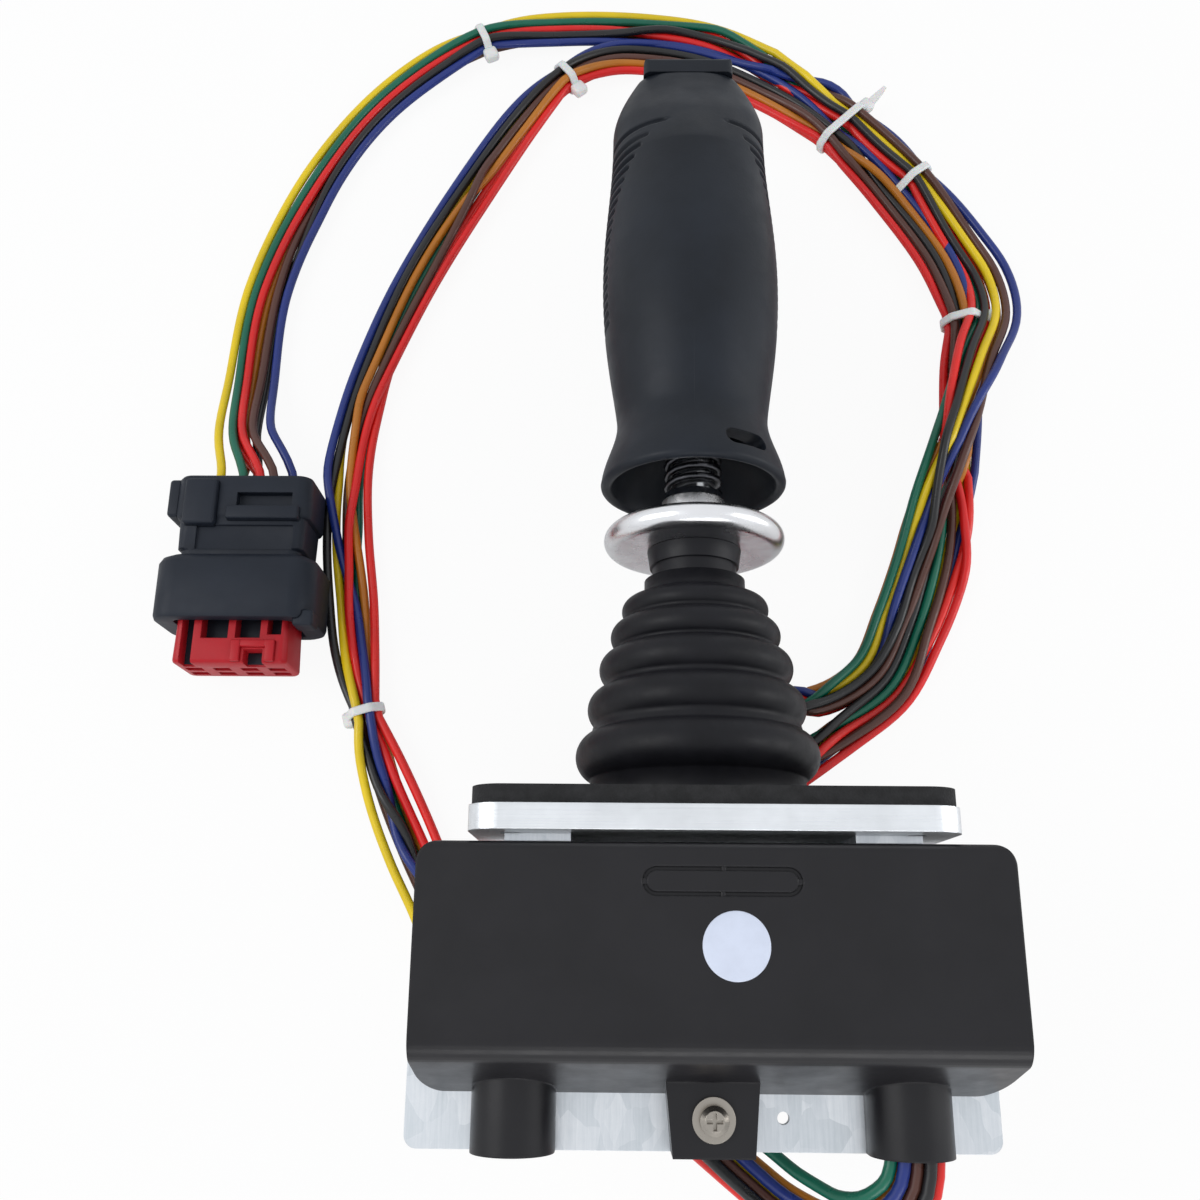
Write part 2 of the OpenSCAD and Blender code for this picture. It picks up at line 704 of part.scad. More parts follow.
module grip_insert() {
    color("#b9bbbe") laid() translate([0, 0, insert_z]) difference() {
        cylinder(d = insert_d, h = insert_len);
        translate([0, 0, -cut]) cylinder(d = shaft_d, h = insert_len + 2 * cut);
    }
}

module grip_nut() {
    color("#8c8f93") laid() translate([0, 0, nut_z]) difference() {
        cylinder(d = nut_flats / cos(30), h = nut_t, $fn = 6);
        translate([0, 0, -cut]) cylinder(d = shaft_d, h = nut_t + 2 * cut);
    }
}

// Rectangle standing on y = 0 with its two top corners rounded
module topped(w, h, r) {
    translate([-w / 2, 0]) square([w, h - r]);
    translate([r - w / 2, 0]) square([w - 2 * r, h]);
    for (x = [-1, 1]) translate([x * (w / 2 - r), h - r]) circle(r);
}

module grip_cap() {
    color("#1f2023") laid() translate([0, 0, lip_z + grip_h]) {
        intersection() {
            linear_extrude(cap_h) round_rect(cap_w, cap_d, 1.8);
            rotate([90, 0, 0]) linear_extrude(2 * cap_d, center = true) topped(cap_w, cap_h, cap_edge);
            rotate([90, 0, 90]) linear_extrude(2 * cap_w, center = true) topped(cap_d, cap_h, cap_edge);
        }
        translate([0, 0, -cap_plug_h]) linear_extrude(cap_plug_h + cap_edge) {
            round_rect(cap_plug[0], cap_plug[1], 1.5);
        }
    }
}

module lock_spring() {
    color("#2b2d30") laid() translate([0, 0, washer_top + seat]) {
        coil(spring_r, spring_wire, nut_z - washer_top - 2 * seat, spring_turns, 0);
    }
}

// ---- Lift ring and lock rod -------------------------------------------------------------------------

module lock_ring() {
    rim_r = ring_rim / 2;
    color("#dfe0e2") laid() difference() {
        rotate_extrude() union() {
            translate([ring_d / 2 - rim_r, ring_z]) circle(rim_r);
            translate([0, web_z]) square([ring_d / 2 - rim_r, web_t]);
            polygon([[ring_d / 2 - rim_r, ring_z - rim_r], [ring_d / 2 - rim_r, ring_z + rim_r - 0.1],
                [hub_d / 2, web_z + web_t], [neck_d / 2 + 3, web_z]]);
            translate([0, web_z]) square([hub_d / 2, hub_top - web_z]);
        }
        cylinder(d = shaft_d + 2 * running, h = 2 * hub_top);
        translate([0, 0, lock_pin_z]) rotate([0, 90, 0]) cylinder(d = lock_pin_d, h = ring_d, center = true);
    }
}

module spring_washer() {
    color("#e8e9eb") laid() translate([0, 0, hub_top]) difference() {
        cylinder(d = washer_d, h = washer_t);
        translate([0, 0, -cut]) cylinder(d = shaft_d + 2 * running, h = washer_t + 2 * cut);
    }
}

module lock_rod() {
    color("#b9bbbe") laid() difference() {
        translate([0, 0, rod_tip]) cylinder(d = rod_d, h = rod_top - rod_tip);
        translate([0, 0, lock_pin_z]) rotate([0, 90, 0]) cylinder(d = lock_pin_d, h = ring_d, center = true);
    }
}

module lock_pin() {
    color("#c9c9cc") laid() translate([0, 0, lock_pin_z]) rotate([0, 90, 0]) {
        cylinder(d = lock_pin_d, h = hub_d - 2 * running, center = true);
    }
}

// ---- Back plate and electronics box -----------------------------------------------------------------

module back_plate() {
    height = plate_reach + plate_top;
    color("#b7babd") laid() difference() {
        translate([plate_shift, -housing_front, plate_top - height / 2]) rotate([90, 0, 0]) {
            linear_extrude(plate_t) round_rect(plate_w, height, 2.5);
        }
        translate([0, 0, lug_z]) rotate([90, 0, 0]) cylinder(d = lug_hole_d, h = 2 * box_front);
        translate([spare_hole_x, 0, lug_z - 0.7]) rotate([90, 0, 0]) {
            cylinder(d = spare_hole_d, h = 2 * box_front);
        }
    }
}

// Angles that hang the plate from the flange, welded to its top edge
module plate_angles() {
    color("#b7babd") laid() difference() {
        for (x = [-1, 1]) {
            translate([x * tab_x - tab_w / 2, -plate_front, plate_top]) {
                cube([tab_w, plate_t, -flange_t - plate_top]);
            }
            translate([x * tab_x - tab_w / 2, -housing_front - tab_reach, -flange_t - plate_t]) {
                cube([tab_w, tab_reach, plate_t]);
            }
        }
        for (x = [-1, 1]) {
            translate([x * tab_x, -housing_front - tab_reach / 2, -flange_t - plate_t]) mirror([0, 0, 1]) {
                countersink(plate_t, plate_t - 0.2);
            }
        }
    }
}

module bracket_screws() {
    color("#c9c9cc") laid() for (x = [-1, 1]) {
        translate([x * tab_x, -housing_front - tab_reach / 2, -flange_t - plate_t]) {
            cylinder(d1 = screw_head_d, d2 = screw_d, h = plate_t - 0.2);
            cylinder(d = screw_d, h = plate_t + flange_t - 1);
        }
    }
}

// Side outline of the box in (y, z), with a rounded foot and a sloping underside, inset by wall
module box_side(wall) {
    front = -box_front + wall;
    top = box_top - wall;
    foot = box_bottom + wall;
    top_r = max(box_top_r - wall, 0.1);
    foot_r = max(box_foot_r - wall, 0.5);
    slope = atan(box_slope / box_d);
    polygon(concat([[-plate_front + (wall > 0 ? cut : 0), top]],
        arc(front + top_r, top - top_r, top_r, 90, 180, 4),
        arc(front + foot_r, foot + foot_r, foot_r, 180, 270 - slope),
        [[-plate_front + (wall > 0 ? cut : 0), box_bottom - box_slope + wall]]));
}

module box_hull(wall) {
    intersection() {
        rotate([90, 0, 90]) linear_extrude(box_w - 2 * wall, center = true) box_side(wall);
        translate([0, 0, box_top - (box_h + box_slope) / 2]) rotate([90, 0, 0]) {
            linear_extrude(2 * box_front) {
                round_rect(box_w - 2 * wall, box_h + box_slope - 2 * wall, box_corner_r - wall / 2);
            }
        }
    }
}

module duct(x) {
    translate([x, 0, -plate_reach]) linear_extrude(plate_reach + box_bottom - 1) {
        translate([0, duct_y]) circle(d = duct_d);
        translate([-duct_d / 2, duct_y]) square([duct_d, duct_rise]);
    }
}

module box_cover() {
    lug_top = box_bottom - 2;
    color("#17181a") laid() difference() {
        union() {
            difference() {
                union() {
                    box_hull(0);
                    for (x = [-1, 1]) duct_trimmed(x * duct_x);
                }
                box_hull(box_wall);
            }
            for (x = [-1, 1]) duct_trimmed(x * duct_x);
            translate([0, -plate_front, 0]) rotate([90, 0, 0]) linear_extrude(lug_out) {
                polygon([[-lug_w_low / 2, -plate_reach], [lug_w_low / 2, -plate_reach], [lug_w / 2, lug_top],
                    [-lug_w / 2, lug_top]]);
            }
        }
        translate([duct_x, duct_bore_y, -plate_reach - cut]) {
            cylinder(d = duct_bore_d, h = plate_reach + box_bottom + 4);
        }
        translate([0, 0, lug_z]) rotate([90, 0, 0]) cylinder(d = lug_hole_d, h = 2 * box_front);
        translate([knockout_at[0], -box_front + knockout[3], knockout_at[1]]) rotate([90, 0, 0]) {
            linear_extrude(2) difference() {
                key_slot(knockout[0], knockout[1]);
                key_slot(knockout[0] - 2 * knockout[2], knockout[1] - 2 * knockout[2]);
            }
        }
    }
}

// Duct with nothing behind the back plate's front face
module duct_trimmed(x) {
    intersection() {
        duct(x);
        translate([x - duct_d, -3 * box_front - plate_front, -2 * plate_reach]) {
            cube([2 * duct_d, 3 * box_front, 2 * plate_reach]);
        }
    }
}

module circuit_board() {
    chips = [[-34, 6, 9, 7, 2], [-12, 3, 14, 14, 2.2], [16, -4, 10, 8, 2], [34, 5, 8, 12, 6]];
    color("#1f5c38") laid() translate([0, -plate_front - board_gap, board_z]) {
        translate([0, -board[1] / 2, 0]) cube(board, center = true);
        for (c = chips) {
            translate([c[0] - c[2] / 2, -board[1] - c[4], c[1] - c[3] / 2]) cube([c[2], c[4] + 0.5, c[3]]);
        }
    }
}

module board_spacers() {
    inset = 4;
    color("#d6d2c4") laid() for (x = [-1, 1], z = [-1, 1]) {
        translate([x * (board[0] / 2 - inset), -plate_front, board_z + z * (board[2] / 2 - inset)]) {
            rotate([90, 0, 0]) cylinder(d = 5, h = board_gap);
        }
    }
}

module lug_screw() {
    face = plate_front + lug_out + 0.8;
    head_d = 5.4;
    head_h = 2.2;
    color("#d8d9db") laid() translate([0, -face, lug_z]) rotate([90, 0, 0]) difference() {
        union() {
            cylinder(d = head_d, h = head_h - 0.8);
            translate([0, 0, head_h - 0.8]) cylinder(d1 = head_d, d2 = head_d - 1.8, h = 0.8);
            translate([0, 0, housing_front - 3 - face]) cylinder(d = screw_d, h = face + 3.5 - housing_front);
        }
        for (a = [0, 90]) rotate([0, 0, a]) translate([0, 0, head_h]) cube([3, 0.7, 2.4], center = true);
    }
}

module lug_washer() {
    color("#c9c9cc") laid() translate([0, -plate_front - lug_out, lug_z]) rotate([90, 0, 0]) difference() {
        cylinder(d = 8, h = 0.8);
        translate([0, 0, -cut]) cylinder(d = lug_hole_d, h = 3 * cut);
    }
}

module lug_nut() {
    color("#c9c9cc") laid() translate([0, -housing_front, lug_z]) rotate([-90, 0, 0]) difference() {
        cylinder(d = 5.5 / cos(30), h = 2.4, $fn = 6);
        translate([0, 0, -cut]) cylinder(d = screw_d, h = 4 + cut);
    }
}

module duct_grommet() {
    color("#151515") laid() translate([duct_x, duct_bore_y, grommet_z]) {
        cylinder(d = duct_bore_d, h = grommet_h);
    }
}

// ---- Harness and plug -------------------------------------------------------------------------------

module harness() {
    color("#303238") swept(route, bundle_d / 2, harness_sides);
}

// Strap round one bundle with its head on the side
module tie(radius) {
    difference() {
        cylinder(r = radius + tie_t, h = tie_w, center = true);
        cylinder(r = radius, h = 2 * tie_w, center = true);
    }
    translate([0, radius + tie_t / 2 + tie_head[1] / 2, 0]) cube(tie_head, center = true);
}

// Strap round two bundles side by side, apart by gap along x
module pair_tie(radius, gap) {
    module strap(r) {
        square([gap, 2 * r], center = true);
        for (x = [-1, 1]) translate([x * gap / 2, 0]) circle(r);
    }
    linear_extrude(tie_w, center = true) difference() {
        strap(radius + tie_t);
        strap(radius);
    }
    translate([gap / 2 + radius + tie_t / 2 + tie_head[1] / 2, 0, 0]) {
        cube([tie_head[1], tie_head[0], tie_head[2]], center = true);
    }
}

module cable_ties() {
    inner = bundle_d / 2 + running;
    color("#e9e9e6") {
        for (k = [0:len(tie_stops) - 1]) on_route(tie_stops[k]) rotate([0, 0, tie_turn[k]]) tie(inner);
        a = route[pair_stop[0]];
        b = route[pair_stop[1]];
        side = b - a;
        translate((a + b) / 2) rotate([90, 0, atan2(side[1], side[0])]) pair_tie(inner, norm(side));
    }
}

module plug_body() {
    rear_y = plug_rear[1];
    color("#2b2d31") translate([plug_end[0], plug_end[1], plug_end[2]]) rotate([90, 0, 0]) difference() {
        union() {
            linear_extrude(rear_y + 1) round_rect(plug_rear[0], plug_rear[2], 3);
            translate([0, 0, rear_y]) linear_extrude(plug_collar_l) round_rect(plug_w, plug_h, 4);
            for (x = [-6, 12]) {
                translate([x, plug_rear[2] / 2 + 0.75, rear_y / 2 + 1]) {
                    cube([4, 2.5, rear_y + 2], center = true);
                }
            }
            translate([3, plug_rear[2] / 2 + 1, 9]) cube([20, 2, 3], center = true);
        }
        translate([0, 0, -cut]) linear_extrude(seal_size[1] + cut) round_rect(seal_size[0], seal_size[2], 2);
        translate([0, 0, rear_y + plug_collar_l - 5]) linear_extrude(6) {
            round_rect(plug_lock_size[0] + 2 * loose, plug_lock_size[2] + 2 * loose, 2);
        }
    }
}

module plug_seal() {
    color("#3a3c40") translate(plug_end) rotate([90, 0, 0]) difference() {
        linear_extrude(seal_size[1]) round_rect(seal_size[0] - 2 * running, seal_size[2] - 2 * running, 2);
        for (x = [-1.5:1.5], y = [-0.5, 0.5]) {
            translate([x * wire_pitch[0], y * wire_pitch[1], -cut]) {
                cylinder(d = wire_hole_d, h = seal_size[1] - 1);
            }
        }
    }
}

module plug_lock() {
    start = plug_rear[1] + plug_collar_l - 5;
    color("#c5202a") translate(plug_end) rotate([90, 0, 0]) translate([0, 0, start]) difference() {
        linear_extrude(plug_lock_size[1]) round_rect(plug_lock_size[0], plug_lock_size[2], 2);
        for (x = [-1:1], y = [-0.5, 0.5]) {
            translate([9 * x, 7 * y, plug_lock_size[1]]) cube([5.6, 4.6, 8], center = true);
        }
    }
}

// ---- Assembly ---------------------------------------------------------------------------------------

flange_plate();
panel_gasket();
bellows_boot();
limiter_gate();
gimbal_housing();
bottom_cover();
housing_screws();
cover_screws();
trunnion_bushes();
fore_aft_sensor();
fore_aft_spring();
gimbal_frame();
side_sensor();
side_spring();
pivot_block();
cross_pins();
stick_shaft();
neck_collar();
grip_body();
grip_insert();
grip_nut();
grip_cap();
lock_spring();
lock_ring();
spring_washer();
lock_rod();
lock_pin();
back_plate();
plate_angles();
bracket_screws();
box_cover();
circuit_board();
board_spacers();
lug_screw();
lug_washer();
lug_nut();
duct_grommet();
harness();
cable_ties();
plug_body();
plug_seal();
plug_lock();
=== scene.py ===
"""Industrial joystick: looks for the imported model. Units are metres, in the row's own frame."""

import json
import math

import bmesh
import bpy
import numpy as np
from mathutils import Matrix, Vector


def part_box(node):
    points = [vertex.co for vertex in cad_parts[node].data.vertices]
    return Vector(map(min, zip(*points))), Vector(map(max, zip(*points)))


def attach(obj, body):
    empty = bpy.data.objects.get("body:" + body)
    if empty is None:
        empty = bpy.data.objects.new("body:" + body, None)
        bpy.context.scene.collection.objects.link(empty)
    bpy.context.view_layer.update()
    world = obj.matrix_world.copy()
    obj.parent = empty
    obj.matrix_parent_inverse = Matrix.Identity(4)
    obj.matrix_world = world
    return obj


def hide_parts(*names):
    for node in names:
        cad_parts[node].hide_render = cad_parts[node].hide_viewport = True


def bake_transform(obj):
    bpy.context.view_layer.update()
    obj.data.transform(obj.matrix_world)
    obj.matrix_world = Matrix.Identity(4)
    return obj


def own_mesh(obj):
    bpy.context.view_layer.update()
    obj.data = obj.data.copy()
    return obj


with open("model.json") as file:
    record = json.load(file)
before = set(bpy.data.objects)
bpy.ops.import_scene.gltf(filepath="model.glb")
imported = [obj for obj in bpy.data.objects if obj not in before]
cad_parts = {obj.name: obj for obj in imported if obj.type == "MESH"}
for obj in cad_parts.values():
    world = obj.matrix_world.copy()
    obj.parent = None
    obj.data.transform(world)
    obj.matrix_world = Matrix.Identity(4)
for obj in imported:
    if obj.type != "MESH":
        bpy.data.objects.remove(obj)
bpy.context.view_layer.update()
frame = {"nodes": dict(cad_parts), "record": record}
NODES = frame["nodes"]
MM = 0.001
TABLE = -46
TABLE_Z = TABLE * MM
SHARP = math.radians(38)
scene = bpy.context.scene


def lo(node):
    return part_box(node)[0]


def hi(node):
    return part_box(node)[1]


# ---- Camera ------------------------------------------------------------------------------------

CAMERA_AT = (-18.9, -26.6, 262.0)
CAMERA_TURN = [math.radians(a) for a in (16.85, 0.56, 0.49)]


def add_camera():
    data = bpy.data.cameras.new("camera")
    data.lens = 35.1
    data.sensor_width = 36.0
    data.clip_start = 0.01
    cam = bpy.data.objects.new("camera", data)
    scene.collection.objects.link(cam)
    cam.location = Vector(CAMERA_AT) * MM
    cam.rotation_euler = CAMERA_TURN
    scene.camera = cam


add_camera()

# ---- Harness: eight insulated wires --------------------------------------------------------------

# Middle of the harness from the box to the plug's rear face, and its height on the table.
LIE = -41.0
ROUTE = np.array([
    (37.5, -57, 23.8), (37.5, -63.3, 23.8), (36, -68.8, 23), (31, -74, 20), (24, -76, 15),
    (16, -73.5, 9), (9, -69, 2), (2, -64, -6), (-4, -60, -15), (-10, -58, -25), (-18, -57.5, -34),
    (-29, -56.5, -39.5), (-41, -52, LIE), (-51, -43, LIE), (-58, -30, LIE), (-63.5, -16, LIE),
    (-70.5, -2, LIE), (-77.5, 14, LIE), (-84, 34, LIE), (-88, 50, LIE), (-90.2, 66, LIE),
    (-92.3, 83, LIE), (-93.2, 101, LIE), (-91.8, 118, LIE), (-88.6, 134, LIE), (-79.5, 162, LIE),
    (-65.5, 192, LIE), (-49, 220, LIE), (-34.5, 236, LIE), (-21, 243.8, LIE), (-8, 244.8, LIE),
    (9, 241, LIE), (28.8, 229.4, LIE), (46.6, 213.8, LIE), (63, 194, LIE), (76.4, 171.5, LIE),
    (80.6, 150, LIE), (80, 134, LIE), (79, 119, LIE), (77, 104, LIE), (74.5, 89.5, LIE),
    (70.5, 73, LIE), (64.5, 57, LIE), (55.8, 40.6, LIE), (40.6, 29, LIE), (25, 18, LIE),
    (12, 11, LIE), (-2, 10, LIE), (-13, 16, LIE), (-16, 27, LIE), (-8, 36, LIE), (6, 38, LIE),
    (21.5, 36.5, LIE), (36, 38, LIE), (48.8, 46.6, LIE), (56, 61.5, LIE), (61.5, 76, -40),
    (66, 92, -36), (71, 106, -32), (77, 121, -32), (83.5, 137, -34.5), (90, 152, -38.5),
    (90, 166, LIE), (84.8, 177.5, LIE), (72, 199.5, LIE), (53.7, 220.7, LIE), (34.6, 237.5, LIE),
    (12.6, 250.3, LIE), (-9.2, 254.8, LIE), (-35.9, 255.2, LIE), (-61, 249.9, LIE),
    (-87.3, 231.3, LIE), (-109.2, 200.1, LIE), (-121.8, 161.9, LIE), (-124, 130, LIE),
    (-122.5, 112, -37), (-118.5, 102, -34.5), (-117, 97.5, -34), (-117, 93, -34)], dtype=float)
WIRE_D = 2.4
SPACING = 2.5      # between the middles of wires that lie side by side
TOP_LAYER, UNDER_LAYER = 1.1, -1.0
BUNDLE_R = 4.25
POINT_STEP = 2.5   # between the points of a wire
WIRES = ["yellow", "blue", "black", "green", "red", "brown", "orange", "red_2"]
Y, B, K, G, R, N, O, R2 = range(8)
# At each route point: the wires in the upper layer from left to right of the way the harness runs,
# and the wires that lie under them.
LAYERS = [
    (1, [R2, K, N, B, G], [R, Y, O]), (8, [R2, K, N, B, G], [R, Y, O]),
    (13, [Y, K, B, R, R2], [N, G, O]), (16, [Y, K, B, R, R2], [N, G, O]),
    (19, [K, Y, R, B, R2], [N, G, O]), (22, [B, K, O, R, R2], [Y, N, G]),
    (25, [B, K, O, N, R], [Y, G, R2]), (28, [B, K, N, O, R], [Y, G, R2]),
    (32, [B, K, N, O, R], [Y, G, R2]), (34.4, [B, O, K, N, R], [Y, G, R2]),
    (38, [B, O, K, N, R], [Y, G, R2]), (40.5, [R, R2, N, G, K], [B, Y, O]),
    (45, [R, R2, N, G, K], [B, Y, O]), (51, [R2, R, N, K, G], [B, Y, O]),
    (54, [G, Y, K, B, N], [O, R, R2]), (57, [G, Y, K, B, N], [O, R, R2]),
    (60, [R2, K, Y, N, B], [G, R, O]), (65, [R2, K, Y, N, B], [G, R, O]),
    (67, [B, K, R, G, Y], [N, O, R2]), (71, [B, K, R, G, Y], [N, O, R2]),
    (74, [B, N, R, G, Y], [K, O, R2]), (75.5, [B, N, R, G, Y], [K, O, R2])]
PLUG_STOP = 75.5   # where the wires begin to spread to the plug's ways
STEPS, SETTLE_FROM = 260, 200
SINGLE_TIES = {18: -150, 28: 0, 36: 180, 64: -30, 70: 180}   # route stop and angle of the head
PAIR = (33, 65)    # the two stops that one strap ties together
PAIR_HEAD, PAIR_TAIL = 180, 7
TIES = [*SINGLE_TIES, *PAIR]
GATHER = 26        # length over which a tie still draws loose wires in
DRIFT, DRIFT_KNOTS = 1.5, 16
SAG = 2.5          # loose wires on the table lie this much lower than tied ones
ENTRY = {N: (8.1, 2.75), R: (2.7, 2.75), G: (-2.7, 2.75), Y: (-8.1, 2.75),
         B: (8.1, -2.75), R2: (2.7, -2.75), K: (-2.7, -2.75), O: (-8.1, -2.75)}


def smooth_route(step):
    """(points about step apart on a smooth curve through the route, route position of each)."""
    pts = np.vstack([2 * ROUTE[0] - ROUTE[1], ROUTE, 2 * ROUTE[-1] - ROUTE[-2]])
    out, pos = [], []
    for i in range(1, len(pts) - 2):
        p0, p1, p2, p3 = pts[i - 1:i + 3]
        spans = ((p0, p1), (p1, p2), (p2, p3))
        d01, d12, d23 = (max(np.linalg.norm(b - a), 1e-6) ** 0.5 for a, b in spans)
        m1 = (p2 - p1) + d12 * ((p1 - p0) / d01 - (p2 - p0) / (d01 + d12))
        m2 = (p2 - p1) + d12 * ((p3 - p2) / d23 - (p3 - p1) / (d12 + d23))
        for t in np.linspace(0, 1, 40, endpoint=False):
            h = (2 * t**3 - 3 * t**2 + 1, t**3 - 2 * t**2 + t, -2 * t**3 + 3 * t**2, t**3 - t**2)
            out.append(h[0] * p1 + h[1] * m1 + h[2] * p2 + h[3] * m2)
            pos.append(i - 1 + t)
    out.append(ROUTE[-1])
    pos.append(len(ROUTE) - 1.0)
    out, pos = np.array(out), np.array(pos)
    arc = np.concatenate([[0], np.cumsum(np.linalg.norm(np.diff(out, axis=0), axis=1))])
    at = np.linspace(0, arc[-1], int(arc[-1] / step) + 1)
    line = np.stack([np.interp(at, arc, out[:, k]) for k in range(3)], axis=1)
    return line, np.interp(at, arc, pos)


def ease(t):
    t = np.clip(t, 0, 1)
    return t * t * (3 - 2 * t)


def wanted_spots(pos):
    """Where the layers put each wire at each route position, across and above the middle of the bundle."""
    keys = []
    for at, top, under in LAYERS:
        spot = np.zeros((8, 2))
        for k, w in enumerate(top):
            spot[w] = ((2 - k) * SPACING, TOP_LAYER)
        for k, w in enumerate(under):
            spot[w] = ((1 - k) * SPACING, UNDER_LAYER)
        keys.append((at, spot))
    keys.append((len(ROUTE) - 1, np.array([ENTRY[w] for w in range(8)])))
    want = np.zeros((len(pos), 8, 2))
    for i in range(len(pos)):
        before = [k for k in keys if k[0] <= pos[i]]
        after = [k for k in keys if k[0] > pos[i]]
        if not before:
            want[i] = keys[0][1]
        elif not after:
            want[i] = keys[-1][1]
        else:
            (a, pa), (b, pb) = before[-1], after[0]
            want[i] = pa + (pb - pa) * ease((pos[i] - a) / (b - a))
    return want


def held_by_ties(pos):
    """1 where a tie or the duct holds the wires together, 0 where they are loose."""
    n = len(pos)
    tied = np.zeros(n)
    for t in TIES:
        near = int(np.argmin(abs(pos - t)))
        gap = abs(np.arange(n) - near) * POINT_STEP
        tied = np.maximum(tied, ease(1 - (gap - POINT_STEP) / GATHER))
    return np.maximum(tied, ease(1 - pos / 2.5))


def wire_drift(rng, n):
    """Slow random sideways wander of each wire."""
    knots = rng.normal(0, 1, (n // DRIFT_KNOTS + 3, 8))
    knot_at = np.arange(len(knots)) * DRIFT_KNOTS
    drift = np.stack([np.interp(np.arange(n), knot_at, knots[:, w]) for w in range(8)], axis=1)
    smooth = np.ones(17) / 17
    return np.array([np.convolve(np.pad(drift[:, w], 8, "edge"), smooth, "valid") for w in range(8)]).T


def push_apart(spot, free):
    """Moves wires that cut each other a diameter apart."""
    for a in range(8):
        for b in range(a + 1, 8):
            gap = spot[:, a] - spot[:, b]
            dist = np.maximum(np.linalg.norm(gap, axis=1), 1e-4)
            push = np.maximum(0, WIRE_D * 1.005 - dist)[:, None] * gap / dist[:, None] * 0.5
            push[~free] = 0
            spot[:, a] += push
            spot[:, b] -= push


def wire_lines():
    """Centre lines of the wires: they keep to the layers above, touch but don't cut each other, are
    gathered by the ties and rest on the table in between."""
    line, pos = smooth_route(POINT_STEP)
    n = len(line)
    along = np.gradient(line, axis=0)
    along /= np.linalg.norm(along, axis=1)[:, None]
    side = np.cross((0, 0, 1), along)
    side /= np.linalg.norm(side, axis=1)[:, None]
    up = np.cross(along, side)
    want = wanted_spots(pos)
    lying = ease(1 - (line[:, 2] - LIE) / 3)
    tied = held_by_ties(pos)
    rng = np.random.default_rng(5)
    want[:, :, 0] += wire_drift(rng, n) * DRIFT * (1 - tied)[:, None]
    want[:, :, 1] -= (SAG * lying * (1 - tied))[:, None]
    free = np.ones(n, bool)
    free[:1] = free[-2:] = False
    spot = want.copy()
    spot += rng.normal(0, 0.05, spot.shape) * free[:, None, None]
    reach = np.where(tied > 0.98, BUNDLE_R - WIRE_D / 2, 60.0)
    floor = TABLE + WIRE_D / 2 + 0.1 - line[:, 2]
    # beside the bell mouth the wires leave room for the stick's lowest corner
    inner = 3.6 + 12 * ease(abs(pos - 56) / 5 - 0.5)
    pull = np.where(pos > PLUG_STOP, 0.3, 0.10)[:, None, None]
    for step in range(STEPS):
        settle = step > SETTLE_FROM
        if not settle:
            spot += pull * (want - spot) * free[:, None, None]
        mid = 0.5 * (spot[:-2] + spot[2:])
        spot[1:-1] += (0.25 if settle else 0.45) * (mid - spot[1:-1]) * free[1:-1, None, None]
        for _ in range(4):
            push_apart(spot, free)
            size = np.maximum(np.linalg.norm(spot, axis=2), 1e-4)
            spot *= np.minimum(1, reach[:, None] / size)[:, :, None]
            spot[:, :, 0] = np.minimum(spot[:, :, 0], inner[:, None])
            spot[:, :, 1] = np.maximum(spot[:, :, 1], floor[:, None])
    return [line + side * spot[:, w, :1] + up * spot[:, w, 1:] for w in range(8)]


def link(obj):
    scene.collection.objects.link(obj)
    return obj


def add_tube(name, points, diameter, sides=5):
    curve = bpy.data.curves.new(name, "CURVE")
    curve.dimensions = "3D"
    curve.bevel_depth = diameter / 2 * MM
    curve.bevel_resolution = sides
    curve.use_fill_caps = True
    spline = curve.splines.new("POLY")
    spline.points.add(len(points) - 1)
    for p, q in zip(spline.points, points):
        p.co = (q[0] * MM, q[1] * MM, q[2] * MM, 1)
    return link(bpy.data.objects.new(name, curve))


# ---- Materials ----------------------------------------------------------------------------------


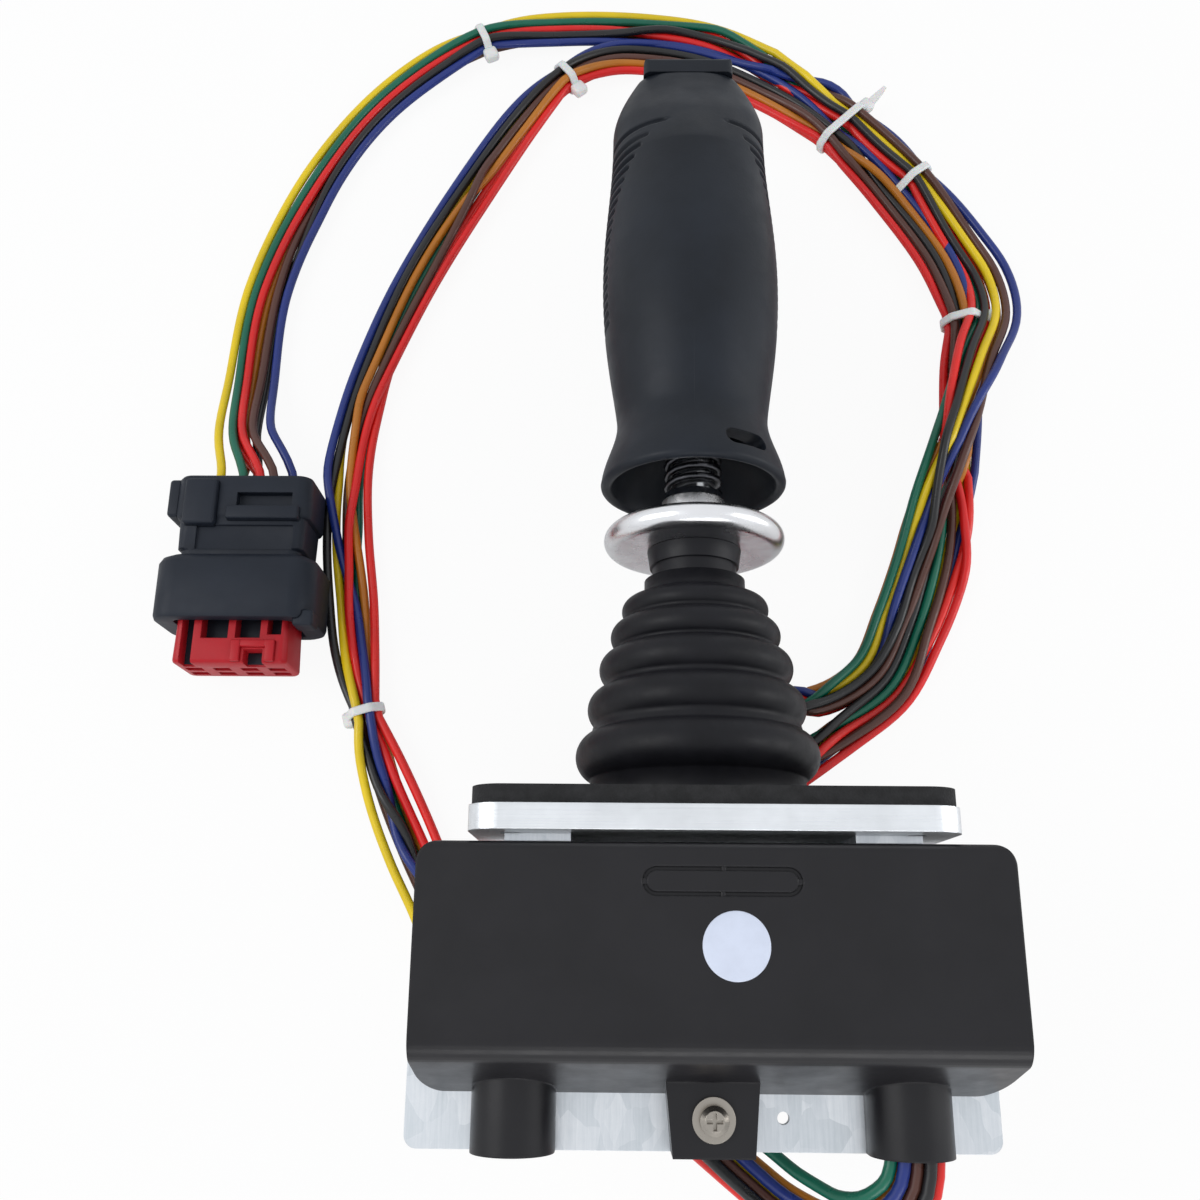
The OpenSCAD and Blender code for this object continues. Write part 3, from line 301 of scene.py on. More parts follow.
class Mat:
    """A node material around one Principled shader, on the object's own coordinates."""

    def __init__(self, name, color, rough, metal=0.0, **sockets):
        self.m = bpy.data.materials.new(name)
        self.m.use_nodes = True
        self.t = self.m.node_tree
        self.b = self.t.nodes["Principled BSDF"]
        self.b.inputs["Base Color"].default_value = (*color, 1)
        self.b.inputs["Roughness"].default_value = rough
        self.b.inputs["Metallic"].default_value = metal
        for key, value in sockets.items():
            self.b.inputs[key.replace("_", " ")].default_value = value
        self.color = color
        self.place = self.node("ShaderNodeTexCoord").outputs["Object"]
        self.normal = None

    def node(self, kind, **props):
        n = self.t.nodes.new(kind)
        for key, value in props.items():
            setattr(n, key, value)
        return n

    def join(self, a, b):
        self.t.links.new(a, b)

    def mapped(self, scale, turn=(0, 0, 0)):
        m = self.node("ShaderNodeMapping")
        m.inputs["Scale"].default_value = scale
        m.inputs["Rotation"].default_value = turn
        self.join(self.place, m.inputs["Vector"])
        return m.outputs["Vector"]

    def noise(self, scale, detail, rough, vector=None):
        n = self.node("ShaderNodeTexNoise")
        n.inputs["Scale"].default_value = scale
        n.inputs["Detail"].default_value = detail
        n.inputs["Roughness"].default_value = rough
        self.join(vector or self.place, n.inputs["Vector"])
        return n.outputs["Fac"]

    def ramp(self, fac, stops):
        r = self.node("ShaderNodeValToRGB")
        ramp = r.color_ramp
        while len(ramp.elements) < len(stops):
            ramp.elements.new(0.5)
        for e, (at, c) in zip(ramp.elements, stops):
            e.position = at
            e.color = (*c, 1)
        self.join(fac, r.inputs["Fac"])
        return r.outputs["Color"]

    def span(self, fac, low, high, a=0.3, b=0.7):
        m = self.node("ShaderNodeMapRange")
        for key, value in (("From Min", a), ("From Max", b), ("To Min", low), ("To Max", high)):
            m.inputs[key].default_value = value
        self.join(fac, m.inputs["Value"])
        return m.outputs["Result"]

    def vary_color(self, fac, amount, low=0.35, high=0.65):
        dark = tuple(max(0, c * (1 - amount)) for c in self.color)
        light = tuple(min(1, c * (1 + amount) + amount * 0.004) for c in self.color)
        self.join(self.ramp(fac, [(low, dark), (high, light)]), self.b.inputs["Base Color"])
        return self

    def vary_rough(self, fac, low, high, a=0.3, b=0.7):
        self.join(self.span(fac, low, high, a, b), self.b.inputs["Roughness"])
        return self

    def soft_edges(self, radius):
        bevel = self.node("ShaderNodeBevel", samples=4)
        bevel.inputs["Radius"].default_value = radius * MM
        self.normal = bevel.outputs["Normal"]
        self.join(self.normal, self.b.inputs["Normal"])
        return self

    def bump(self, height, depth):
        n = self.node("ShaderNodeBump")
        n.inputs["Strength"].default_value = 1.0
        n.inputs["Distance"].default_value = depth * MM
        self.join(height, n.inputs["Height"])
        if self.normal is not None:
            self.join(self.normal, n.inputs["Normal"])
        self.normal = n.outputs["Normal"]
        self.join(self.normal, self.b.inputs["Normal"])
        return self

    def math(self, op, a, b=None):
        n = self.node("ShaderNodeMath", operation=op)
        for k, v in enumerate((a, b)):
            if v is None:
                continue
            if isinstance(v, (int, float)):
                n.inputs[k].default_value = v
            else:
                self.join(v, n.inputs[k])
        return n.outputs["Value"]


def plastic(name, color, rough, grain=900, depth=0.02, edge=0.25, spread=0.12, **sockets):
    m = Mat(name, color, rough, **sockets).soft_edges(edge)
    m.vary_color(m.noise(45, 4, 0.6), spread)
    m.vary_rough(m.noise(140, 3, 0.6), rough - 0.05, rough + 0.07)
    return m.bump(m.noise(grain, 2, 0.5), depth)


def rubber(name, color, rough, grain=700, depth=0.03, edge=0.2, **sockets):
    m = Mat(name, color, rough, **sockets).soft_edges(edge)
    m.vary_color(m.noise(70, 5, 0.65), 0.25)
    m.vary_rough(m.noise(210, 4, 0.65), rough - 0.09, rough + 0.1)
    return m.bump(m.noise(grain, 3, 0.6), depth)


def brushed(name, color, rough, along, edge=0.2, depth=0.01):
    m = Mat(name, color, rough, 1.0).soft_edges(edge)
    stretch = {"X": (3, 260, 260), "Y": (260, 3, 260), "Z": (260, 260, 3)}[along]
    lines = m.noise(12, 4, 0.7, m.mapped(stretch))
    m.vary_color(m.noise(60, 4, 0.6), 0.08)
    m.vary_rough(lines, rough - 0.08, rough + 0.12)
    return m.bump(lines, depth)


def turned(name, color, rough, edge=0.15, depth=0.006):
    """Turned about the stick's axis: fine lines round it, drawn by how far a point is from the axis."""
    m = Mat(name, color, rough, 1.0).soft_edges(edge)
    x = m.node("ShaderNodeSeparateXYZ")
    m.join(m.place, x.inputs["Vector"])
    square = m.math("ADD", m.math("POWER", x.outputs["X"], 2), m.math("POWER", x.outputs["Z"], 2))
    line = m.node("ShaderNodeCombineXYZ")
    m.join(m.math("SQRT", square), line.inputs["X"])
    m.join(x.outputs["Y"], line.inputs["Y"])
    rings = m.noise(2200, 3, 0.6, line.outputs["Vector"])
    m.vary_color(m.noise(55, 3, 0.6), 0.05)
    m.vary_rough(m.noise(90, 4, 0.65), rough * 0.7, rough * 1.6)
    return m.bump(rings, depth)


def galvanised():
    """Zinc's spangle: cells of uneven tone, their edges bent by noise, under streaks from rolling."""
    m = Mat("plate_zinc", (0.62, 0.65, 0.67), 0.38, 1.0).soft_edges(0.15)
    turned_place = m.mapped((1, 0.6, 1), (0, 0, 0.4))
    cells = m.node("ShaderNodeTexVoronoi")
    cells.inputs["Scale"].default_value = 260
    bent = m.node("ShaderNodeVectorMath", operation="ADD")
    wobble = m.node("ShaderNodeVectorMath", operation="SCALE")
    wobble.inputs["Scale"].default_value = 0.006
    blur = m.node("ShaderNodeTexNoise")
    blur.inputs["Scale"].default_value = 120
    m.join(turned_place, blur.inputs["Vector"])
    m.join(blur.outputs["Color"], wobble.inputs[0])
    m.join(turned_place, bent.inputs[0])
    m.join(wobble.outputs[0], bent.inputs[1])
    m.join(bent.outputs[0], cells.inputs["Vector"])
    grey = m.node("ShaderNodeSeparateColor")
    m.join(cells.outputs["Color"], grey.inputs["Color"])
    fine = m.noise(420, 4, 0.7)
    tone = m.math("ADD", m.math("MULTIPLY", grey.outputs["Red"], 0.55), m.math("MULTIPLY", fine, 0.45))
    streaks = m.noise(30, 4, 0.7, m.mapped((60, 3, 60)))
    tone = m.math("ADD", m.math("MULTIPLY", tone, 0.45), m.math("MULTIPLY", streaks, 0.5))
    m.join(m.ramp(tone, [(0.25, (0.56, 0.6, 0.63)), (0.5, (0.66, 0.69, 0.72)), (0.75, (0.78, 0.8, 0.82))]),
           m.b.inputs["Base Color"])
    m.vary_rough(tone, 0.5, 0.32, 0.2, 0.8)
    return m.bump(tone, 0.012)


def pvc(name, color):
    m = Mat(name, color, 0.3, Specular_IOR_Level=0.45)
    m.vary_color(m.noise(60, 3, 0.5), 0.08)
    m.vary_rough(m.noise(260, 3, 0.6), 0.24, 0.42)
    return m.bump(m.noise(500, 2, 0.5), 0.02)


def nylon(name, color):
    m = Mat(name, color, 0.36, Subsurface_Weight=0.25, Subsurface_Scale=0.002).soft_edges(0.2)
    m.vary_color(m.noise(160, 2, 0.5), 0.03)
    m.vary_rough(m.noise(300, 3, 0.6), 0.3, 0.46)
    return m.bump(m.noise(700, 2, 0.5), 0.012)


def grip_plastic():
    m = plastic("grip_moulded", (0.009, 0.012, 0.018), 0.44, grain=1500, depth=0.018, edge=0.35,
                spread=0.2, Specular_IOR_Level=0.25)
    x = m.node("ShaderNodeSeparateXYZ")
    m.join(m.place, x.inputs["Vector"])
    # the mould's parting line runs up the front
    line = m.span(m.math("ABSOLUTE", m.math("ADD", x.outputs["X"], 0.0005)), 1, 0, 0.00004, 0.00018)
    front = m.math("GREATER_THAN", x.outputs["Z"], 0.0)
    low = m.span(x.outputs["Y"], 1, 0, 0.1, 0.15)
    m.bump(m.math("MULTIPLY", m.math("MULTIPLY", line, front), low), 0.03)
    return m


def foam():
    m = Mat("foam", (0.012, 0.012, 0.013), 0.92)
    cells = m.node("ShaderNodeTexVoronoi")
    cells.inputs["Scale"].default_value = 1900
    m.join(m.place, cells.inputs["Vector"])
    m.vary_color(m.noise(300, 4, 0.7), 0.4)
    return m.bump(cells.outputs["Distance"], 0.12)


def board_green():
    green = (0.01, 0.11, 0.045)
    m = Mat("solder_mask", green, 0.3, Coat_Weight=0.4, Coat_Roughness=0.1).soft_edges(0.1)
    bricks = m.node("ShaderNodeTexBrick")
    bricks.inputs["Scale"].default_value = 180
    bricks.inputs["Mortar Size"].default_value = 0.012
    bricks.inputs["Color1"].default_value = (*green, 1)
    bricks.inputs["Color2"].default_value = (0.012, 0.13, 0.055, 1)
    bricks.inputs["Mortar"].default_value = (0.03, 0.2, 0.09, 1)
    m.join(m.place, bricks.inputs["Vector"])
    m.join(bricks.outputs["Color"], m.b.inputs["Base Color"])
    return m


MATS = {
    "flange_alloy": brushed("flange_alloy", (0.78, 0.8, 0.82), 0.3, "X", edge=0.3),
    "foam_black": foam(),
    "boot_rubber": rubber("boot_rubber", (0.0075, 0.0075, 0.01), 0.46, depth=0.02,
                          Specular_IOR_Level=0.22),
    "gate_steel": brushed("gate_steel", (0.5, 0.51, 0.52), 0.4, "X"),
    "housing_cast": brushed("housing_cast", (0.42, 0.43, 0.44), 0.5, "Y", depth=0.03),
    "screw_steel": turned("screw_steel", (0.36, 0.33, 0.29), 0.28, depth=0.003),
    "bush_brass": turned("bush_brass", (0.75, 0.55, 0.25), 0.3),
    "sensor_black": plastic("sensor_black", (0.02, 0.02, 0.022), 0.5),
    "spring_dark": brushed("spring_dark", (0.09, 0.092, 0.1), 0.3, "Y"),
    "gimbal_steel": brushed("gimbal_steel", (0.45, 0.46, 0.47), 0.35, "X"),
    "stick_steel": turned("stick_steel", (0.6, 0.61, 0.62), 0.22),
    "neck_black": plastic("neck_black", (0.009, 0.009, 0.012), 0.38, Specular_IOR_Level=0.25),
    "grip_black": grip_plastic(),
    "insert_alloy": turned("insert_alloy", (0.7, 0.71, 0.72), 0.3),
    "ring_alloy": turned("ring_alloy", (0.8, 0.8, 0.81), 0.22, edge=0.3, depth=0.0015),
    "washer_chrome": turned("washer_chrome", (0.86, 0.87, 0.9), 0.06, depth=0.0005),
    "plate_zinc": galvanised(),
    "box_black": plastic("box_black", (0.011, 0.0105, 0.0125), 0.34, grain=1300, depth=0.012, edge=0.5,
                         Specular_IOR_Level=0.3),
    "board_green": board_green(),
    "nylon_natural": nylon("nylon_natural", (0.72, 0.71, 0.66)),
    "grommet_black": rubber("grommet_black", (0.01, 0.01, 0.01), 0.6),
    "wire_bundle": pvc("wire_bundle", (0.05, 0.05, 0.06)),
    "tie_white": nylon("tie_white", (0.82, 0.83, 0.82)),
    "plug_grey": plastic("plug_grey", (0.011, 0.015, 0.024), 0.5, grain=1100, depth=0.02, edge=0.4,
                         Specular_IOR_Level=0.25),
    "seal_grey": rubber("seal_grey", (0.035, 0.035, 0.04), 0.6),
    "plug_red": plastic("plug_red", (0.46, 0.012, 0.02), 0.36, grain=1100, depth=0.012, edge=0.35,
                        spread=0.06, Specular_IOR_Level=0.25),
}
PVC = {
    "yellow": (0.86, 0.62, 0.01), "blue": (0.012, 0.03, 0.2), "black": (0.012, 0.012, 0.013),
    "green": (0.0, 0.13, 0.075), "red": (0.75, 0.012, 0.012), "brown": (0.09, 0.032, 0.022),
    "orange": (0.5, 0.17, 0.012), "red_2": (0.8, 0.02, 0.015)}


def set_material(obj, mat):
    obj.data.materials.clear()
    obj.data.materials.append(mat.m)


for entry in frame["record"]["subparts"]:
    set_material(NODES[entry["node"]], MATS[entry["material_slot"]])


def new_piece(name, bm, mat, body):
    """Piece from a finished bmesh, smooth-shaded with its hard edges kept."""
    bmesh.ops.recalc_face_normals(bm, faces=bm.faces)
    mesh = bpy.data.meshes.new(name)
    bm.to_mesh(mesh)
    bm.free()
    mesh.shade_smooth()
    mesh.set_sharp_from_angle(angle=SHARP)
    piece = link(bpy.data.objects.new(name, mesh))
    set_material(piece, mat)
    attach(piece, body)
    return piece


def each_once(items):
    """List of the items in their own order; a set's order would change from run to run."""
    return list(dict.fromkeys(items))


def rounded_block(bm, size, place, bevel):
    """Block with rounded edges, its size in mm, set by the matrix place."""
    made = bmesh.ops.create_cube(bm, size=MM)["verts"]
    bmesh.ops.scale(bm, vec=size, verts=made)
    edges = each_once(e for v in made for e in v.link_edges)
    made = bmesh.ops.bevel(bm, geom=edges, offset=bevel * MM, segments=4, profile=0.5,
                           affect="EDGES")["verts"]
    faces = each_once(f for v in made for f in v.link_faces)
    bmesh.ops.transform(bm, matrix=place, verts=each_once(v for f in faces for v in f.verts))


def carve(piece, bm):
    """Cuts the closed shapes in bm out of the piece."""
    bmesh.ops.recalc_face_normals(bm, faces=bm.faces)
    mesh = bpy.data.meshes.new("cutter")
    bm.to_mesh(mesh)
    bm.free()
    cutter = link(bpy.data.objects.new("cutter", mesh))
    cut = piece.modifiers.new("cut", "BOOLEAN")
    cut.operation = "DIFFERENCE"
    cut.solver = "EXACT"
    cut.object = cutter
    bpy.context.view_layer.update()
    done = bpy.data.meshes.new_from_object(piece.evaluated_get(bpy.context.evaluated_depsgraph_get()))
    piece.modifiers.clear()
    piece.data = done
    bpy.data.objects.remove(cutter)
    bpy.data.meshes.remove(mesh)
    piece.data.set_sharp_from_angle(angle=SHARP)


def crossings(lines, at, along, side, up, reach):
    """Where the wires cross the plane through at and square to along, as far off as reach at most."""
    found = []
    for line in lines:
        d = (line - at) @ along
        for i in np.nonzero(np.sign(d[:-1]) != np.sign(d[1:]))[0]:
            p = line[i] + (line[i + 1] - line[i]) * d[i] / (d[i] - d[i + 1]) - at
            if np.linalg.norm(p) < reach:
                found.append((p @ side, p @ up))
    return np.array(found)


TIE_W = 2.3
TIE_T = 0.9
TIE_HEAD = (4.3, 4.2, 3.2)
TIE_BEVEL = 0.3


def add_tie(name, lines, at, along, reach, head_at, tail=0.0):
    """Strap drawn tight round the wires, with its head at the angle head_at from the right-hand side of
    the way the harness runs, and a tail left on it where tail gives a length."""
    along = along / np.linalg.norm(along)
    side = np.cross(along, (0, 0, 1))
    side /= np.linalg.norm(side)
    up = np.cross(side, along)
    wires = crossings(lines, at, along, side, up, reach)
    bm = bmesh.new()
    half = TIE_W / 2
    edge = half - TIE_BEVEL
    shoulder = TIE_T - TIE_BEVEL
    outline = [(-half, 0), (-half, shoulder), (-edge, TIE_T), (edge, TIE_T), (half, shoulder), (half, 0)]

    def touch(a):
        """Point of the taut strap's inner side that faces the angle a, and that way in space."""
        out = np.array([math.cos(a), math.sin(a)])
        c = wires[np.argmax(wires @ out)] + out * (WIRE_D / 2 + 0.05)
        return at + c[0] * side + c[1] * up, out[0] * side + out[1] * up

    rings = []
    for a in np.linspace(0, 2 * math.pi, 96, endpoint=False):
        foot, out = touch(a)
        rings.append([bm.verts.new((foot + w * along + t * out) * MM) for w, t in outline])
    for a, b in zip(rings, rings[1:] + rings[:1]):
        for k in range(len(outline)):
            bm.faces.new((a[k - 1], a[k], b[k], b[k - 1]))
    foot, out = touch(math.radians(head_at))
    tangent = np.cross(out, along)
    place = Matrix(((along[0], out[0], tangent[0], 0), (along[1], out[1], tangent[1], 0),
                    (along[2], out[2], tangent[2], 0), (0, 0, 0, 1)))
    middle = foot + out * (TIE_HEAD[1] / 2 - 0.3)
    place.translation = middle * MM
    if tail:
        rows = []
        for t in np.linspace(0, 1, 17):
            c = middle + out * (TIE_HEAD[1] / 2 - 0.8 + t * tail) + np.array((0, 0, 1)) * 1.5 * t * t
            wide = half * (1 - 0.85 * max(0, t - 0.3) ** 1.3)
            rows.append([bm.verts.new((c + u * wide * along + v * tangent) * MM)
                         for u, v in ((-1, -0.45), (1, -0.45), (1, 0.45), (-1, 0.45))])
        for a, b in zip(rows, rows[1:]):
            for k in range(4):
                bm.faces.new((a[k - 1], a[k], b[k], b[k - 1]))
        bm.faces.new(rows[0])
        bm.faces.new(rows[-1])
    # the block comes last: faces made after a bevel are stored in an order that changes from run to run
    rounded_block(bm, TIE_HEAD, place, 1.0)
    tie = new_piece(name, bm, MATS["tie_white"], "base")
    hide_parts("cable_ties")
    return tie


def add_ties(lines):
    ties = []
    for stop, head_at in SINGLE_TIES.items():
        along = ROUTE[stop + 1] - ROUTE[stop - 1]
        ties.append(add_tie(f"cable_tie_{stop}", lines, ROUTE[stop], along, 6.5, head_at))
    a, b = PAIR
    along = ROUTE[a + 1] - ROUTE[a - 1]
    at = (ROUTE[a] + ROUTE[b]) / 2
    ties.append(add_tie(f"cable_tie_{a}", lines, at, along, 14, PAIR_HEAD, PAIR_TAIL))
    return ties


# In the plug's own mm: u to the right, s from its rear face to the front, v up.
PLUG = Matrix.Translation(Vector(ROUTE[-1]) * MM) @ Matrix.Diagonal((1, -1, 1, 1))
COLLAR_S, FRONT_S, LOCK_S = 21.0, 38.5, 49.5


def plug_block(bm, u, s, v, bevel=0.4):
    """Rounded block between the two values of each of u, s and v."""
    size = [b - a for a, b in (u, s, v)]
    middle = Vector([(a + b) / 2 for a, b in (u, s, v)])
    rounded_block(bm, size, PLUG @ Matrix.Translation(middle * MM), bevel)


def dress(piece, blocks):
    """Adds rounded blocks, each given as u, s, v and its bevel, to a piece of the plug."""
    bm = bmesh.new()
    bm.from_mesh(piece.data)
    for u, s, v, bevel in blocks:
        plug_block(bm, u, s, v, bevel)
    bm.to_mesh(piece.data)
    bm.free()
    piece.data.shade_smooth()
    piece.data.set_sharp_from_angle(angle=SHARP)


def plug_sleeve(bm, sections):
    """Solid through rounded oblongs, each given as s, width, height and corner radius."""
    rows = []
    for s, w, h, r in sections:
        row = []
        for k, (cu, cv) in enumerate(((1, 1), (-1, 1), (-1, -1), (1, -1))):
            for a in np.linspace(k * math.pi / 2, (k + 1) * math.pi / 2, 8):
                spot = Vector((cu * (w / 2 - r) + r * math.cos(a), s, cv * (h / 2 - r) + r * math.sin(a)))
                row.append(bm.verts.new(PLUG @ (spot * MM)))
        rows.append(row)
    for a, b in zip(rows, rows[1:]):
        for k in range(len(a)):
            bm.faces.new((a[k - 1], a[k], b[k], b[k - 1]))
    bm.faces.new(rows[0])
    bm.faces.new(rows[-1])


# Sections of the plug's body from within its rear edge, along the outside and back in at the front,
# then those of its lock: s, width, height and corner radius of each.
BODY_SECTIONS = (
    (1.0, 27.6, 12.6, 1.8), (0.1, 28.2, 13.2, 2.0), (-1.0, 31.0, 15.6, 2.6), (-1.4, 32.0, 16.2, 2.8),
    (-1.3, 34.8, 18.0, 3.4), (-0.5, 35.9, 18.9, 3.6), (9.4, 36.0, 19.0, 3.6), (10.2, 35.2, 18.6, 3.4),
    (10.5, 33.6, 18.2, 3.2), (18.8, 33.2, 17.6, 3.0), (19.4, 31.6, 16.8, 3.0), (20.6, 31.6, 16.8, 3.0),
    (COLLAR_S, 37.0, 19.6, 5.0), (22.0, 40.4, 22.6, 5.8), (23.4, 41.9, 24.0, 6.4),
    (37.2, 42.0, 24.0, 6.4), (38.2, 41.2, 23.2, 6.0), (FRONT_S, 39.8, 21.8, 5.4),
    (FRONT_S, 31.0, 17.4, 2.4), (34.6, 30.0, 16.4, 2.0))
LOCK_SECTIONS = ((34.8, 28.6, 15.2, 1.6), (48.6, 29.5, 16.0, 2.0), (49.2, 29.1, 15.6, 1.9),
                 (LOCK_S, 28.2, 14.8, 1.6))


def add_plug_body():
    bm = bmesh.new()
    plug_sleeve(bm, BODY_SECTIONS)
    body = new_piece("moulded_plug", bm, MATS["plug_grey"], "base")
    cut = bmesh.new()
    # two pockets in the top
    plug_block(cut, (-1.4, 13.2), (3.6, 7.9), (6.9, 12.0), 0.05)
    plug_block(cut, (-11.4, 13.9), (12.6, 19.2), (8.1, 12.0), 0.05)
    carve(body, cut)
    # raised block and cross bar on top, block on the left side, block at the collar's front corner
    dress(body, [
        ((-15.0, -6.4), (0.2, 12.8), (6.5, 11.2), 0.9), ((-3.6, 15.4), (7.8, 11.4), (8.2, 11.2), 0.5),
        ((-20.6, -16.0), (-0.9, 9.6), (-5.0, 7.4), 1.0), ((16.2, 21.4), (36.0, 40.2), (4.4, 10.6), 0.7)])
    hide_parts("plug_body")
    return body


# Groove, windows and notch in the lock's top: their two values of u and of s.
WINDOWS = (((-12.6, -9.6), (34.0, 50.5)), ((-7.6, -0.7), (34.0, 43.0)), ((1.2, 7.6), (34.0, 42.9)),
           ((9.4, 13.0), (34.0, 42.0)), ((3.8, 8.7), (45.9, 50.5)))
WINDOW_FLOOR = 3.2
WAY_U, WAY_V = (-10.8, -3.6, 3.6, 10.8), (-4.4, 0.4)
WAY_W, WAY_H, WAY_FLOOR = 4.4, 3.0, 45.5


def add_plug_lock():
    """Red lock: a groove, three windows and a framed notch in its top, and the eight ways in its front."""
    bm = bmesh.new()
    plug_sleeve(bm, LOCK_SECTIONS)
    lock = new_piece("moulded_plug_lock", bm, MATS["plug_red"], "base")
    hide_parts("plug_lock")
    cut = bmesh.new()
    for u, s in WINDOWS:
        plug_block(cut, u, s, (WINDOW_FLOOR, 12.0), 0.05)
    for u in WAY_U:
        for v in WAY_V:
            wide, high = (u - WAY_W / 2, u + WAY_W / 2), (v - WAY_H / 2, v + WAY_H / 2)
            plug_block(cut, wide, (WAY_FLOOR, 51.0), high, 0.05)
    carve(lock, cut)
    dress(lock, [((0.6, 3.0), (43.6, 49.2), (6.0, 9.0), 0.3), ((9.4, 11.8), (43.6, 49.2), (6.0, 9.0), 0.3),
                 ((2.6, 9.8), (43.6, 45.4), (6.0, 8.8), 0.3)])
    bm = bmesh.new()
    for u, s in WINDOWS:
        span = (max(s[0], 36.0), min(s[1] + 0.3, 48.9))
        plug_block(bm, (u[0] - 0.3, u[1] + 0.3), span, (WINDOW_FLOOR - 0.6, WINDOW_FLOOR + 0.4), 0.1)
    core = new_piece("plug_core", bm, MATS["plug_grey"], "base")
    return [lock, core]


def add_wires():
    lines = wire_lines()
    made = []
    plug = [add_plug_body(), *add_plug_lock(), NODES["plug_seal"]]
    for name, pts in zip(WIRES, lines):
        wire = add_tube(f"wire_{name}", [*pts, pts[-1] - (0, 3, 0)], WIRE_D)
        set_material(wire, pvc(f"pvc_{name}", PVC[name]))
        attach(wire, "base")
        made.append(wire)
    ties = add_ties(lines)
    for wire in made:
        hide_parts("harness")


add_wires()

# ---- Grip -----------------------------------------------------------------------------------------
# Heights are in mm above the bell mouth, angles in degrees from the front towards the right.

LIP_D, WAIST_D, BELLY_D, HEAD_D = 44.4, 36.6, 44.2, 39.4
WAIST_H, BELLY_H, HEAD_H, SLOPE_H = 17.0, 56.0, 99.0, 86.0
GRIP_FOOT = lo("grip_body")[1] / MM
GRIP_H = hi("grip_body")[1] / MM - GRIP_FOOT
DECK_DEPTH = 15.8
MOUTH_WALL = 2.7
SEAT_R = 10.5
SLOT_TURN, SLOT_H, SLOT_R, SLOT_L = 33, 6, 2.1, 7.3   # the key slot's length is between its end centres
GROOVES, GROOVE_PITCH, GROOVE_TOP = 21, 2.5, 92.1


def swing(a, b, t):
    return a + (b - a) * (1 - np.cos(math.pi * t)) / 2


def grip_radius(h):
    waist = swing(LIP_D, WAIST_D, h / WAIST_H) / 2
    belly = swing(WAIST_D, BELLY_D, np.clip((h - WAIST_H) / (BELLY_H - WAIST_H), 0, 1) ** 0.66) / 2
    head = swing(BELLY_D, HEAD_D, (h - BELLY_H) / (HEAD_H - BELLY_H)) / 2
    shoulder = HEAD_D / 2 - 6.4 * np.clip((h - HEAD_H) / (GRIP_H - HEAD_H), 0, 1) ** 1.6
    return np.select([h < WAIST_H, h < BELLY_H, h < HEAD_H], [waist, belly, head], shoulder)


def groove_depth(h, angle):
    """Depth of the finger grooves: they leave a smooth panel in front, and the first is its arch."""
    off = np.abs((angle - 3.7 + 180) % 360 - 180)
    depth = np.zeros(np.broadcast(h, angle).shape)
    for i in range(GROOVES):
        at = GROOVE_TOP - i * GROOVE_PITCH + (1.2 if i == 0 else 0)
        half = 16.5 if i == 0 else 74 - 47 * (1 - i / (GROOVES - 1)) ** 3.6
        fade = 9.0 if i == 0 else 3.5
        reach = ease((off - half) / fade)
        depth = np.maximum(depth, 0.95 * reach * np.exp(-((h - at) / (0.45 + 0.2 * reach)) ** 4))
    return depth


def grip_ring(h, angle, inset=0.0):
    """Ring of points at the height h. Towards the top the front and back slope in to the cap."""
    t = np.clip((h - SLOPE_H) / (GRIP_H - SLOPE_H), 0, 1)
    wide = grip_radius(np.array(h)) - inset
    deep = wide + (DECK_DEPTH / 2 - inset - wide) * t ** 1.25
    power = 2 / (2 + 0.9 * t)
    a = np.radians(angle)
    x = wide * np.sign(np.sin(a)) * np.abs(np.sin(a)) ** power
    z = deep * np.sign(np.cos(a)) * np.abs(np.cos(a)) ** power
    keep = 1 - groove_depth(h, angle) / np.hypot(x, z)
    return np.stack([x * keep, np.full_like(x, GRIP_FOOT + h), z * keep], axis=1)


def add_grip():
    angle = np.linspace(0, 360, 240, endpoint=False)
    flat = np.radians(angle)
    seat_h = lo("grip_insert")[1] / MM - GRIP_FOOT

    def round_ring(r, y):
        return np.stack([r * np.sin(flat), np.full_like(flat, y), r * np.cos(flat)], axis=1)

    rings = []
    for inset in (11.0, 5.0, 2.0, 0.8, 0.4, 0.15, 0.0):
        drop = 0.8 - math.sqrt(max(0, 0.64 - (0.8 - min(inset, 0.8)) ** 2))
        rings.append(grip_ring(GRIP_H - drop, angle, inset))
    heights = np.concatenate([np.arange(GRIP_H - 2.2, 96, -1.2), np.arange(96, 38, -0.27),
                              np.arange(38, 1.5, -1.2)])
    rings += [grip_ring(h, angle) for h in heights]
    lip = MOUTH_WALL / 2
    for a in np.linspace(0, math.pi, 9):
        rings.append(round_ring(LIP_D / 2 - lip + lip * math.cos(a), GRIP_FOOT + lip - lip * math.sin(a)))
    for t in np.linspace(0.1, 1, 12):
        rings.append(round_ring(swing(LIP_D / 2 - MOUTH_WALL, SEAT_R, t), GRIP_FOOT + t * seat_h))
    bm = bmesh.new()
    rows = [[bm.verts.new(p * MM) for p in ring] for ring in rings]
    for a, b in zip(rows, rows[1:]):
        for k in range(len(angle)):
            bm.faces.new((a[k - 1], a[k], b[k], b[k - 1]))
    for row, y in ((rows[0], GRIP_H), (rows[-1], seat_h)):
        middle = bm.verts.new((0, (GRIP_FOOT + y) * MM, 0))
        for k in range(len(angle)):
            bm.faces.new((middle, row[k - 1], row[k]))
    grip = new_piece("moulded_grip", bm, MATS["grip_black"], "stick")
    cut_slot(grip)
    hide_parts("grip_body")


